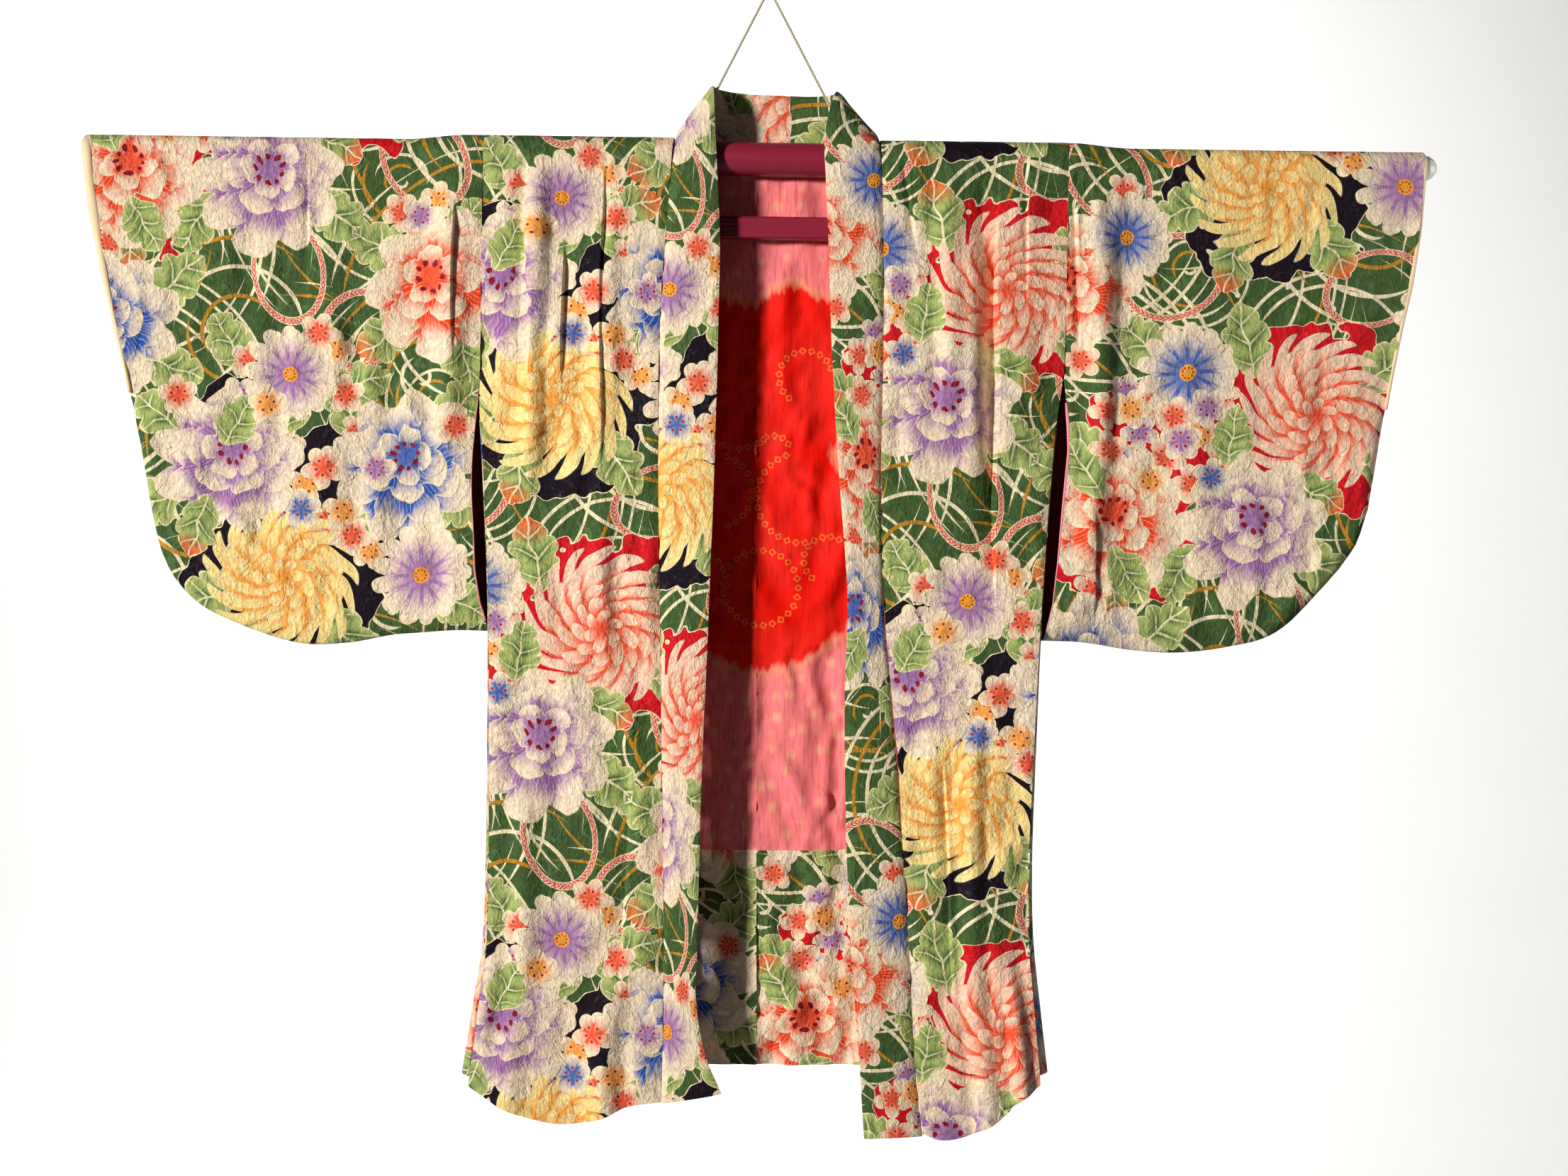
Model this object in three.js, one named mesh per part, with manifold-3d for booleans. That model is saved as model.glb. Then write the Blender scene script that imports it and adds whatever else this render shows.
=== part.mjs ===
// A haori, the thigh-length kimono jacket, hanging on a rod hanger with two bars.
//
// Millimetres, +Z up, +X to the viewer's right, and the front of the jacket faces -Y. The origin is the
// point under the top of the hanging cord, where a hook or nail holds everything up.
//
// The cloth is a set of thin walls. Each panel is a patch between four edge curves, laid out flat in two
// measures: x across, and drop, the height below the ridge where the cloth passes over the rod. The patch
// is then hung over the rod: its first stretch bends round the rod, and the rest hangs down from it.
import * as THREE from "three";
import { mergeVertices } from "three/addons/utils/BufferGeometryUtils.js";
import Module from "manifold-3d";

// ---- driving dimensions ----
const SHELL = 2; // figured crepe with its seam allowances
const LINING = 1; // thin silk
const BAND = 3; // the collar is folded double over a stiffener
const SEAM = 0.5; // between panels that are sewn together
const CLEARANCE = 0.3; // between pieces that rest on each other

const BAR_Z = -149.5; // axis of the hanger's upper bar, under the origin
const TILT = 0.0136; // the hanger hangs a little lower on the right, in radians
const BAR_RADIUS = 15.5;
const BAR_HALF = 235;
const ARM_RADIUS = 11;
const ARM_END = 596;
const TIP_RADIUS = 12;
const TIP_END = 618;
const LOWER_BAR_BELOW = 63.5; // from axis to axis
const LOWER_BAR = { height: 21, depth: 13, round: 4 };
const YOKE = { at: 165, thick: 8, half: 10, below: 13 };

const BODY_RADIUS = BAR_RADIUS + LINING + 2 * CLEARANCE; // inner face of the shell over the bar
const SLEEVE_RADIUS = ARM_RADIUS + LINING + 2 * CLEARANCE;
const SLEEVE_FROM = 276; // beyond this the cloth narrows to the sleeve's depth
const SLEEVE_BLEND = 60;
const HEM_SPREAD = { front: 5, back: 4, per: 900 }; // how far the body opens out towards the hem
const SLEEVE_FLATTENS = { by: 0.33, per: 450 };
const ARMHOLE = { x: 266, drop: 240, reach: 45, tall: 90, by: 0.45 }; // front and back draw together here
const CLOSED_EDGE = 30; // width over which a sleeve rounds off to its closed edges
const CUFF_DROP = 225; // the sleeve's outer edge is open down to here
const CENTRE_BACK = -12;

const CORD = { radius: 1.5, eye: 71, bend: 6, sides: 8, steps: 40 };
const EYE = { radius: 4.5, height: 4 };

const FRONT = -1;
const BACK = 1;

// ---- the cut: edge curves as x and drop, from the ridge down or from the inner edge out ----
const LEFT_COLLAR_SEAM = [
  { x: -88, drop: 0 },
  { x: -95, drop: 90 },
  { x: -100, drop: 162 },
  { x: -102, drop: 306 },
  { x: -100, drop: 450 },
  { x: -98.5, drop: 593 },
  { x: -96.5, drop: 737 },
  { x: -98.5, drop: 886 },
];
const LEFT_SIDE = [
  { x: -262.5, drop: 0 },
  { x: -264, drop: 92 },
  { x: -266.5, drop: 222 },
  { x: -267, drop: 242 },
  { x: -263, drop: 308 },
  { x: -258, drop: 420 },
  { x: -257, drop: 560 },
  { x: -257, drop: 667 },
  { x: -259, drop: 745 },
  { x: -267, drop: 805 },
  { x: -276, drop: 874 },
];
const LEFT_FRONT_HEM = [
  { x: -98.5, drop: 886 },
  { x: -131, drop: 891 },
  { x: -160, drop: 903 },
  { x: -195, drop: 907 },
  { x: -239, drop: 896 },
  { x: -276, drop: 874 },
];
const RIGHT_COLLAR_SEAM = [
  { x: 103, drop: 0 },
  { x: 105, drop: 87 },
  { x: 105, drop: 195 },
  { x: 103, drop: 303 },
  { x: 104.5, drop: 411 },
  { x: 110, drop: 483 },
  { x: 118.5, drop: 576 },
  { x: 123, drop: 662 },
  { x: 128, drop: 734 },
  { x: 133.5, drop: 842 },
  { x: 141, drop: 912 },
];
const RIGHT_SIDE = [
  { x: 275.5, drop: 0 },
  { x: 274, drop: 85 },
  { x: 272, drop: 192 },
  { x: 271.5, drop: 210 },
  { x: 264.5, drop: 260 },
  { x: 259.5, drop: 305 },
  { x: 250, drop: 430 },
  { x: 243, drop: 560 },
  { x: 238, drop: 665 },
  { x: 238, drop: 735 },
  { x: 243, drop: 795 },
  { x: 249, drop: 866 },
];
const RIGHT_FRONT_HEM = [
  { x: 141, drop: 912 },
  { x: 155, drop: 917 },
  { x: 176, drop: 915 },
  { x: 211, drop: 898 },
  { x: 230, drop: 880 },
  { x: 249, drop: 866 },
];
const LEFT_NECKLINE = [
  { x: CENTRE_BACK, drop: 11 },
  { x: -50, drop: 9.5 },
  { x: -76, drop: 4.5 },
  { x: -88, drop: 0 },
  { x: -140, drop: 0 },
  { x: -200, drop: 0 },
  { x: -262.5, drop: 0 },
];
const RIGHT_NECKLINE = [
  { x: CENTRE_BACK, drop: 11 },
  { x: 60, drop: 9.5 },
  { x: 91, drop: 4.5 },
  { x: 103, drop: 0 },
  { x: 150, drop: 0 },
  { x: 210, drop: 0 },
  { x: 275.5, drop: 0 },
];
const LEFT_BACK_HEM = [
  { x: CENTRE_BACK, drop: 858 },
  { x: -140, drop: 860 },
  { x: -276, drop: 868 },
];
const RIGHT_BACK_HEM = [
  { x: CENTRE_BACK, drop: 858 },
  { x: 120, drop: 858 },
  { x: 249, drop: 860 },
];
const LEFT_SLEEVE = {
  inner: [
    { x: -262.5, drop: 0 },
    { x: -264, drop: 92 },
    { x: -266.5, drop: 222 },
    { x: -267, drop: 242 },
    { x: -270, drop: 308 },
    { x: -267, drop: 380 },
    { x: -265, drop: 455 },
  ],
  outer: [
    { x: -629, drop: 0 },
    { x: -623, drop: 57 },
    { x: -611, drop: 129 },
    { x: -591, drop: 222 },
    { x: -580, drop: 279 },
    { x: -569, drop: 344 },
  ],
  bottom: [
    { x: -265, drop: 455 },
    { x: -339, drop: 454 },
    { x: -390, drop: 463 },
    { x: -433, drop: 464 },
    { x: -490, drop: 447 },
    { x: -530, drop: 426 },
    { x: -555, drop: 394 },
    { x: -569, drop: 344 },
  ],
};
const RIGHT_SLEEVE = {
  inner: [
    { x: 275.5, drop: 0 },
    { x: 274, drop: 85 },
    { x: 272, drop: 192 },
    { x: 271.5, drop: 210 },
    { x: 271, drop: 268 },
    { x: 267.5, drop: 312 },
    { x: 262.5, drop: 370 },
    { x: 256, drop: 457 },
  ],
  outer: [
    { x: 604, drop: 0 },
    { x: 599, drop: 62 },
    { x: 592, drop: 112 },
    { x: 577, drop: 184 },
    { x: 566.5, drop: 242 },
    { x: 552, drop: 329 },
  ],
  bottom: [
    { x: 256, drop: 457 },
    { x: 308, drop: 458 },
    { x: 372, drop: 462 },
    { x: 423, drop: 456 },
    { x: 466, drop: 443 },
    { x: 516, drop: 394 },
    { x: 538, drop: 365 },
    { x: 552, drop: 329 },
  ],
};

// ---- the largest folds: where across the panel, how wide as a share of it, how deep, and from which drop
// to which ----
const LEFT_FRONT_FOLDS = [
  { at: 0.7, width: 0.09, depth: 8, from: 5, to: 330 },
  { at: 0.32, width: 0.12, depth: 5, from: 60, to: 520 },
  { at: 0.3, width: 0.13, depth: 8, from: 760, to: 1100 },
  { at: 0.78, width: 0.12, depth: 5, from: 560, to: 1100 },
];
const RIGHT_FRONT_FOLDS = [
  { at: 0.62, width: 0.09, depth: 9, from: 5, to: 430 },
  { at: 0.36, width: 0.1, depth: 5, from: 10, to: 300 },
  { at: 0.5, width: 0.14, depth: 6, from: 520, to: 1100 },
  { at: 0.84, width: 0.12, depth: 9, from: 740, to: 1100 },
];
const LEFT_BACK_FOLDS = [
  { at: 0.34, width: 0.12, depth: 6, from: 120, to: 1100 },
  { at: 0.72, width: 0.11, depth: 7, from: 10, to: 560 },
];
const RIGHT_BACK_FOLDS = [
  { at: 0.3, width: 0.12, depth: 6, from: 200, to: 1100 },
  { at: 0.68, width: 0.12, depth: 8, from: 10, to: 480 },
];
const LEFT_SLEEVE_FOLDS = [
  { at: 0.08, width: 0.06, depth: 6, from: 10, to: 330 },
  { at: 0.4, width: 0.11, depth: 3.5, from: 60, to: 400 },
];
const RIGHT_SLEEVE_FOLDS = [
  { at: 0.09, width: 0.06, depth: 7, from: 10, to: 420 },
  { at: 0.36, width: 0.1, depth: 3.5, from: 20, to: 390 },
];

// ---- the collar band: its sewn edge and its free edge, section by section from the hem up and round the
// neck. y is given where the band leaves the fronts ----
const LEFT_BAND = [
  { seamZ: -1018.5, edgeX: -43, edgeZ: -1008, lift: 7 },
  { seamZ: -970, edgeX: -58.5, edgeZ: -970, lift: 9 },
  { seamZ: -925, edgeX: -66, edgeZ: -925, lift: 9 },
  { seamZ: -869, edgeX: -65, edgeZ: -869, lift: 8 },
  { seamZ: -725, edgeX: -61.5, edgeZ: -725, lift: 7 },
  { seamZ: -582, edgeX: -55.5, edgeZ: -582, lift: 6 },
  { seamZ: -438, edgeX: -50, edgeZ: -438, lift: 6 },
  { seamZ: -294, edgeX: -46, edgeZ: -294, lift: 5 },
  { seamZ: -222, edgeX: -45, edgeZ: -222, lift: 5 },
  { seamZ: -172, edgeX: -47, edgeZ: -170, lift: 4 },
];
const LEFT_NECK = [
  { seamX: -86.5, seamY: -15.5, seamZ: -140, edgeX: -49, edgeY: -20, edgeZ: -128 },
  { seamX: -85, seamY: 0, seamZ: -130, edgeX: -50, edgeY: -10, edgeZ: -86 },
  { seamX: -74.5, seamY: 10.5, seamZ: -133.6, edgeX: -50.5, edgeY: 8, edgeZ: -80.5 },
  { seamX: -52, seamY: 15.2, seamZ: -137.8, edgeX: -44, edgeY: 19, edgeZ: -81 },
  { seamX: -20, seamY: 16.3, seamZ: -140, edgeX: -18, edgeY: 21, edgeZ: -84.5 },
  { seamX: 19, seamY: 16.5, seamZ: -141, edgeX: 19, edgeY: 21, edgeZ: -86 },
];
const RIGHT_BAND = [
  { seamZ: -1048, edgeX: 86.5, edgeZ: -1049, lift: 7 },
  { seamZ: -977, edgeX: 82, edgeZ: -977, lift: 8 },
  { seamZ: -869, edgeX: 74, edgeZ: -869, lift: 8 },
  { seamZ: -760, edgeX: 70, edgeZ: -760, lift: 7 },
  { seamZ: -640, edgeX: 69, edgeZ: -640, lift: 6 },
  { seamZ: -560, edgeX: 71.5, edgeZ: -560, lift: 7 },
  { seamZ: -438, edgeX: 63.5, edgeZ: -438, lift: 6 },
  { seamZ: -330, edgeX: 57.5, edgeZ: -330, lift: 5 },
  { seamZ: -222, edgeX: 54, edgeZ: -222, lift: 5 },
  { seamZ: -174, edgeX: 52, edgeZ: -172, lift: 4 },
];
const RIGHT_NECK = [
  { seamX: 101.5, seamY: -15.5, seamZ: -142.5, edgeX: 51, edgeY: -20, edgeZ: -130 },
  { seamX: 100, seamY: 0, seamZ: -132.5, edgeX: 59, edgeY: -10, edgeZ: -92 },
  { seamX: 89.5, seamY: 10.5, seamZ: -135.6, edgeX: 62, edgeY: 8, edgeZ: -86.5 },
  { seamX: 66, seamY: 15.2, seamZ: -139.3, edgeX: 56, edgeY: 19, edgeZ: -86 },
  { seamX: 40, seamY: 16.5, seamZ: -141.5, edgeX: 38, edgeY: 21, edgeZ: -86.5 },
  { seamX: 19.5, seamY: 16.5, seamZ: -141, edgeX: 19.5, edgeY: 21, edgeZ: -86 },
];

// ---- hanging the cloth ----
const clamp = (t) => Math.min(1, Math.max(0, t));
const mix = (a, b, t) => a + (b - a) * t;
const smooth = (t) => clamp(t) ** 2 * (3 - 2 * clamp(t));
const bell = (t) => Math.exp(-t * t);
const barZ = (x) => BAR_Z - TILT * x;
const sleeveShare = (x) => smooth((Math.abs(x) - SLEEVE_FROM) / SLEEVE_BLEND);
const radiusAt = (x) => mix(BODY_RADIUS, SLEEVE_RADIUS, sleeveShare(x));

// How far the inner face of the cloth is from the rod's plane, below the rod.
function depthAt(x, drop, side) {
  const spread = side === FRONT ? HEM_SPREAD.front : HEM_SPREAD.back;
  const body = BODY_RADIUS + (spread * drop) / HEM_SPREAD.per;
  const sleeve = SLEEVE_RADIUS * (1 - (SLEEVE_FLATTENS.by * drop) / SLEEVE_FLATTENS.per);
  const across = bell((Math.abs(x) - ARMHOLE.x) / ARMHOLE.reach);
  const down = bell((drop - ARMHOLE.drop) / ARMHOLE.tall);
  return mix(body, sleeve, sleeveShare(x)) * (1 - ARMHOLE.by * across * down);
}

// A point of the cloth's inner face. Round the rod, the drop gives the angle; below it, the cloth hangs.
function hang(x, drop, side, out = 0, share = 1) {
  const radius = radiusAt(x);
  const z = barZ(x) + radius - drop;
  if (drop < radius) {
    const angle = Math.acos(clamp(1 - drop / radius));
    return new THREE.Vector3(x, side * (radius * Math.sin(angle) * share + out), z);
  }
  return new THREE.Vector3(x, side * (depthAt(x, drop, side) * share + out), z);
}

// A smooth curve through the rows of a table, as a function from 0 to 1.
function through(rows) {
  const curve = new THREE.CatmullRomCurve3(
    rows.map((row) => new THREE.Vector3(row.x, row.drop, 0)),
    false,
    "centripetal",
  );
  return (t) => {
    const p = curve.getPointAt(clamp(t));
    return { x: p.x, drop: p.y };
  };
}

// The x of such a curve at a drop, for a curve that only goes down.
function xAlong(rows) {
  const curve = through(rows);
  return (drop) => {
    let [high, low] = [0, 1];
    for (let i = 0; i < 30; i++) {
      const half = (high + low) / 2;
      if (curve(half).drop < drop) high = half;
      else low = half;
    }
    return curve(high).x;
  };
}

// The patch between four edges: u runs from the inner edge to the outer one, v from the top to the bottom.
function patch({ inner, outer, top, bottom }) {
  const [left, right, up, low] = [inner, outer, top, bottom].map(through);
  const corner = [up(0), up(1), low(0), low(1)];
  const blend = (key, u, v) =>
    mix(up(u)[key], low(u)[key], v) +
    mix(left(v)[key], right(v)[key], u) -
    mix(
      mix(corner[0][key], corner[1][key], u),
      mix(corner[2][key], corner[3][key], u),
      v,
    );
  return (u, v) => ({ x: blend("x", u, v), drop: Math.max(0, blend("drop", u, v)) });
}

// How far the folds push the cloth outwards.
function foldOut(folds, u, drop) {
  const FADE = 70;
  const one = (fold) =>
    ((fold.depth * (1 + Math.cos(Math.PI * Math.min(1, Math.abs(u - fold.at) / fold.width)))) / 2) *
    smooth((drop - fold.from) / FADE) *
    smooth((fold.to - drop) / FADE);
  return folds.reduce((sum, fold) => sum + one(fold), 0);
}

// ---- stations: where the wall has its columns and rows ----
const evenly = (count) => Array.from({ length: count + 1 }, (_, i) => i / count);

// Even columns, with others at the crest, flanks and foot of each fold.
function columnsFor(folds, count) {
  const near = 0.35 / count;
  const marks = folds.flatMap((fold) => [-1, -0.5, 0, 0.5, 1].map((k) => fold.at + k * fold.width));
  const inside = marks.filter((u) => u > near && u < 1 - near);
  const all = [...inside];
  for (const u of evenly(count))
    if (u === 0 || u === 1 || all.every((other) => Math.abs(other - u) > near)) all.push(u);
  all.sort((a, b) => a - b);
  return all.filter((u, i) => i === 0 || u === 1 || u - all[i - 1] > near / 2);
}

// Rows close together where the cloth bends round the rod, and even below it.
function rowsFor(length, count) {
  const bend = [0, 0.06, 0.22, 0.45, 0.72, 1].map((k) => (k * BODY_RADIUS) / length);
  return [...bend, ...evenly(count).slice(1).map((t) => mix(bend.at(-1), 1, t))];
}

const together = (list, marks) => [...list, ...marks].sort((a, b) => a - b);

// The same, and close together again at the far end, where a sleeve rounds off.
const roundingOff = (list, length) =>
  together(list, [0.03, 0.2, 0.6].map((k) => 1 - (k * CLOSED_EDGE) / length))
    .filter((t, i, all) => i === 0 || t - all[i - 1] > 0.001);

// ---- making a wall ----
function closedMesh(vertices, triangles) {
  const geometry = new THREE.BufferGeometry();
  const numbers = vertices.flatMap((p) => [p.x, p.y, p.z]);
  geometry.setAttribute("position", new THREE.Float32BufferAttribute(numbers, 3));
  geometry.setIndex(triangles);
  return geometry;
}

// A closed wall between two layers, each the surface moved out along its normal, with a rim round them.
// turn is 1 or -1, whichever makes the normal point out of the garment.
function wall(surface, columns, rows, [inside, outside], turn) {
  const STEP = 1e-3;
  const normalAt = (u, v) => {
    const du = surface(Math.min(1, u + STEP), v).sub(surface(Math.max(0, u - STEP), v));
    const dv = surface(u, Math.min(1, v + STEP)).sub(surface(u, Math.max(0, v - STEP)));
    return du.cross(dv).normalize().multiplyScalar(turn);
  };
  const across = columns.length;
  const down = rows.length;
  const vertices = [];
  for (const out of [inside, outside])
    for (const v of rows)
      for (const u of columns) vertices.push(surface(u, v).addScaledVector(normalAt(u, v), out));
  const at = (layer, i, j) => layer * across * down + j * across + i;
  const triangles = [];
  const quad = (a, b, c, d) => triangles.push(...(turn > 0 ? [a, b, c, a, c, d] : [a, c, b, a, d, c]));
  for (let j = 0; j + 1 < down; j++)
    for (let i = 0; i + 1 < across; i++) {
      quad(at(1, i, j), at(1, i + 1, j), at(1, i + 1, j + 1), at(1, i, j + 1));
      quad(at(0, i, j), at(0, i, j + 1), at(0, i + 1, j + 1), at(0, i + 1, j));
    }
  for (let i = 0; i + 1 < across; i++) {
    quad(at(0, i, 0), at(0, i + 1, 0), at(1, i + 1, 0), at(1, i, 0));
    quad(at(1, i, down - 1), at(1, i + 1, down - 1), at(0, i + 1, down - 1), at(0, i, down - 1));
  }
  for (let j = 0; j + 1 < down; j++) {
    quad(at(1, 0, j), at(1, 0, j + 1), at(0, 0, j + 1), at(0, 0, j));
    quad(at(0, across - 1, j), at(0, across - 1, j + 1), at(1, across - 1, j + 1), at(1, across - 1, j));
  }
  return closedMesh(vertices, triangles);
}

// ---- the pieces ----
const group = new THREE.Group();
const finish = (color, roughness) => new THREE.MeshStandardMaterial({ color, roughness });
const printedCrepe = finish(0x4c7048, 0.75);
const dyedLining = finish(0xd9425a, 0.7);
const sleeveLining = finish(0x4a1020, 0.65);
const maroonPlastic = finish(0x8c2a40, 0.4);
const creamPlastic = finish(0xd2cfbf, 0.35);
const twistedCord = finish(0xe6dfcb, 0.9);

function add(name, geometry, material, parent = group) {
  const mesh = new THREE.Mesh(geometry, material);
  mesh.name = name;
  parent.add(mesh);
  return mesh;
}

const shifted = (rows, by) => rows.map((row) => ({ ...row, x: row.x + by }));
const ridge = (from, to) => evenly(4).map((t) => ({ x: mix(from, to, t), drop: 0 }));
const outwards = (edge) => Math.sign(edge.at(-1).x);

// What lies against a wall's inner face has the wall's own columns and rows, those between the limits.
const SHELL_LAYERS = [0, SHELL];
const LINING_LAYERS = [-CLEARANCE - LINING, -CLEARANCE];
const between = (list, from, to) => list.filter((t) => t >= from && t <= to);

// Front and back panels. Their inner edge is the collar seam or the centre back.
function bodyPanel(name, edges, folds, side, counts, marks = []) {
  const way = outwards(edges.outer);
  const flat = patch({
    ...edges,
    inner: shifted(edges.inner, (way * SEAM) / 2),
    outer: shifted(edges.outer, (-way * SEAM) / 2),
  });
  const surface = (u, v) => {
    const p = flat(u, v);
    return hang(p.x, p.drop, side, foldOut(folds, u, p.drop));
  };
  const columns = columnsFor(folds, counts.across);
  const rows = together(rowsFor(edges.outer.at(-1).drop, counts.down), marks);
  add(name, wall(surface, columns, rows, SHELL_LAYERS, way * side), printedCrepe);
  return { surface, columns, rows, turn: way * side };
}
const trimmed = (seam, hem) => [...seam.slice(0, -1), hem.at(-1)];
bodyPanel(
  "front_left",
  { inner: LEFT_COLLAR_SEAM, outer: LEFT_SIDE, top: ridge(-88, -262.5), bottom: LEFT_FRONT_HEM },
  LEFT_FRONT_FOLDS,
  FRONT,
  { across: 5, down: 13 },
);
bodyPanel(
  "front_right",
  { inner: RIGHT_COLLAR_SEAM, outer: RIGHT_SIDE, top: ridge(103, 275.5), bottom: RIGHT_FRONT_HEM },
  RIGHT_FRONT_FOLDS,
  FRONT,
  { across: 5, down: 13 },
);
// Inside the back: the lining in an upper and a lower piece, and the deep turned-up hem below them. Each is
// a little narrower than the panel it lies on.
const INSIDE_BACK = [
  { piece: "lining_upper", from: 0.018, to: 0.535, material: dyedLining },
  { piece: "lining_lower", from: 0.539, to: 0.762, material: dyedLining },
  { piece: "hem_facing", from: 0.766, to: 1, material: printedCrepe },
];
const MARKS = [0.535, 0.539, 0.762, 0.766];
const centreBack = [11, 200, 500, 858].map((drop) => ({ x: CENTRE_BACK, drop }));
function backAndLining(end, side, neckline, hem, folds) {
  const edges = { inner: centreBack, outer: trimmed(side, hem), top: neckline, bottom: hem };
  const back = bodyPanel(`back_${end}`, edges, folds, BACK, { across: 6, down: 9 }, MARKS);
  const columns = between(back.columns, 0, 0.97);
  for (const { piece, from, to, material } of INSIDE_BACK)
    add(
      `${piece}_${end}`,
      wall(back.surface, columns, between(back.rows, from, to), LINING_LAYERS, back.turn),
      material,
    );
}
backAndLining("left", LEFT_SIDE, LEFT_NECKLINE, LEFT_BACK_HEM, LEFT_BACK_FOLDS);
backAndLining("right", RIGHT_SIDE, RIGHT_NECKLINE, RIGHT_BACK_HEM, RIGHT_BACK_FOLDS);

// Sleeves. Front and back wall meet at the ridge, along the bottom and up the outer edge to the cuff.
const rounded = (distance) => Math.sqrt(1 - (1 - clamp(distance / CLOSED_EDGE)) ** 2);
function sleeveWall(name, sleeve, folds, side) {
  const way = outwards(sleeve.outer);
  const flat = patch({
    ...sleeve,
    inner: shifted(sleeve.inner, (way * SEAM) / 2),
    top: ridge(sleeve.inner[0].x, sleeve.outer[0].x),
  });
  const deep = sleeve.inner.at(-1).drop;
  const wide = Math.abs(sleeve.outer[0].x - sleeve.inner[0].x);
  const surface = (u, v) => {
    const p = flat(u, v);
    const shut = smooth((p.drop - CUFF_DROP) / CLOSED_EDGE);
    const share = rounded((1 - v) * deep) * mix(1, rounded((1 - u) * wide), shut);
    return hang(p.x, p.drop, side, CLEARANCE / 2 + share * foldOut(folds, u, p.drop), share);
  };
  const columns = roundingOff(columnsFor(folds, 6), wide);
  const rows = roundingOff(rowsFor(deep, 9), deep);
  add(name, wall(surface, columns, rows, SHELL_LAYERS, way * side), printedCrepe);
  const within = [1 - CLOSED_EDGE / wide, 1 - CLOSED_EDGE / deep];
  return { surface, columns, rows, turn: way * side, within };
}
sleeveWall("sleeve_left_front", LEFT_SLEEVE, LEFT_SLEEVE_FOLDS, FRONT);
sleeveWall("sleeve_right_front", RIGHT_SLEEVE, RIGHT_SLEEVE_FOLDS, FRONT);
const sleeveBacks = {
  left: sleeveWall("sleeve_left_back", LEFT_SLEEVE, LEFT_SLEEVE_FOLDS, BACK),
  right: sleeveWall("sleeve_right_back", RIGHT_SLEEVE, RIGHT_SLEEVE_FOLDS, BACK),
};
// The sleeve's lining, where it shows through the open inner edge: on the inside of the back wall.
for (const [end, { surface, columns, rows, turn, within }] of Object.entries(sleeveBacks))
  add(
    `sleeve_lining_${end}`,
    wall(surface, between(columns, 0, within[0]), between(rows, 0.03, within[1]), LINING_LAYERS, turn),
    sleeveLining,
  );

// Side gussets: narrow wedges between front and back, from the armhole to the hem.
function gusset(name, side) {
  const TOP = 262;
  const way = outwards(side);
  const last = side.at(-1).drop - 3;
  const xAt = xAlong(side);
  const surface = (u, v) => {
    const drop = mix(TOP, last, v);
    const x = xAt(drop) + way * SEAM;
    const [front, back] = [hang(x, drop, FRONT), hang(x, drop, BACK)];
    const bulge = mix(1.5, 8, v * v) * Math.sin(Math.PI * u);
    const p = front.lerp(back, mix(0.045, 0.955, u));
    p.x += way * bulge;
    return p;
  };
  add(name, wall(surface, evenly(4), evenly(12), SHELL_LAYERS, way), printedCrepe);
}
gusset("gusset_left", trimmed(LEFT_SIDE, LEFT_BACK_HEM));
gusset("gusset_right", trimmed(RIGHT_SIDE, RIGHT_BACK_HEM));

// The collar, in the two lengths that meet at the back of the neck.
function collarSections(seamLine, band, neck) {
  const way = outwards(seamLine);
  const GAP = 0.9;
  const xAt = xAlong(seamLine);
  const fronts = band.map((row) => {
    const x = xAt(barZ(way * 100) + BODY_RADIUS - row.seamZ) - way * GAP;
    const y = hang(x, barZ(x) + BODY_RADIUS - row.seamZ, FRONT).y;
    return {
      seam: new THREE.Vector3(x, y, row.seamZ),
      edge: new THREE.Vector3(row.edgeX, y - row.lift, row.edgeZ),
    };
  });
  const round = neck.map((row) => ({
    seam: new THREE.Vector3(row.seamX, row.seamY, row.seamZ),
    edge: new THREE.Vector3(row.edgeX, row.edgeY, row.edgeZ),
  }));
  return [...fronts, ...round];
}
function collar(name, seamLine, band, neck) {
  const CROWN = 1.5; // how far the band bows out in its middle
  const way = outwards(seamLine);
  const sections = collarSections(seamLine, band, neck);
  const lineOf = (key) => new THREE.CatmullRomCurve3(sections.map((row) => row[key]), false, "centripetal");
  const [seam, edge] = [lineOf("seam"), lineOf("edge")];
  const flat = (u, v) => seam.getPoint(v).lerp(edge.getPoint(v), u);
  const surface = (u, v) => {
    const along = flat(u, Math.min(1, v + 0.004)).sub(flat(u, Math.max(0, v - 0.004)));
    const out = edge.getPoint(v).sub(seam.getPoint(v)).cross(along).normalize();
    return flat(u, v).addScaledVector(out, -way * CROWN * Math.sin(Math.PI * u));
  };
  const perSection = [...band.map(() => 2), 1, 3, 3, 3, 2, 1];
  const bounds = sections.length - 1;
  const rows = sections.flatMap((_, i) =>
    i === bounds ? [1] : evenly(perSection[i]).slice(0, -1).map((t) => (i + t) / bounds),
  );
  add(name, wall(surface, evenly(4), rows, [0, BAND], -way), printedCrepe);
}
collar("collar_left", LEFT_COLLAR_SEAM, LEFT_BAND, LEFT_NECK);
collar("collar_right", RIGHT_COLLAR_SEAM, RIGHT_BAND, RIGHT_NECK);

// ---- the hanger ----
const hanger = new THREE.Group();
hanger.position.z = BAR_Z;
hanger.rotation.y = TILT;
group.add(hanger);

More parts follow.
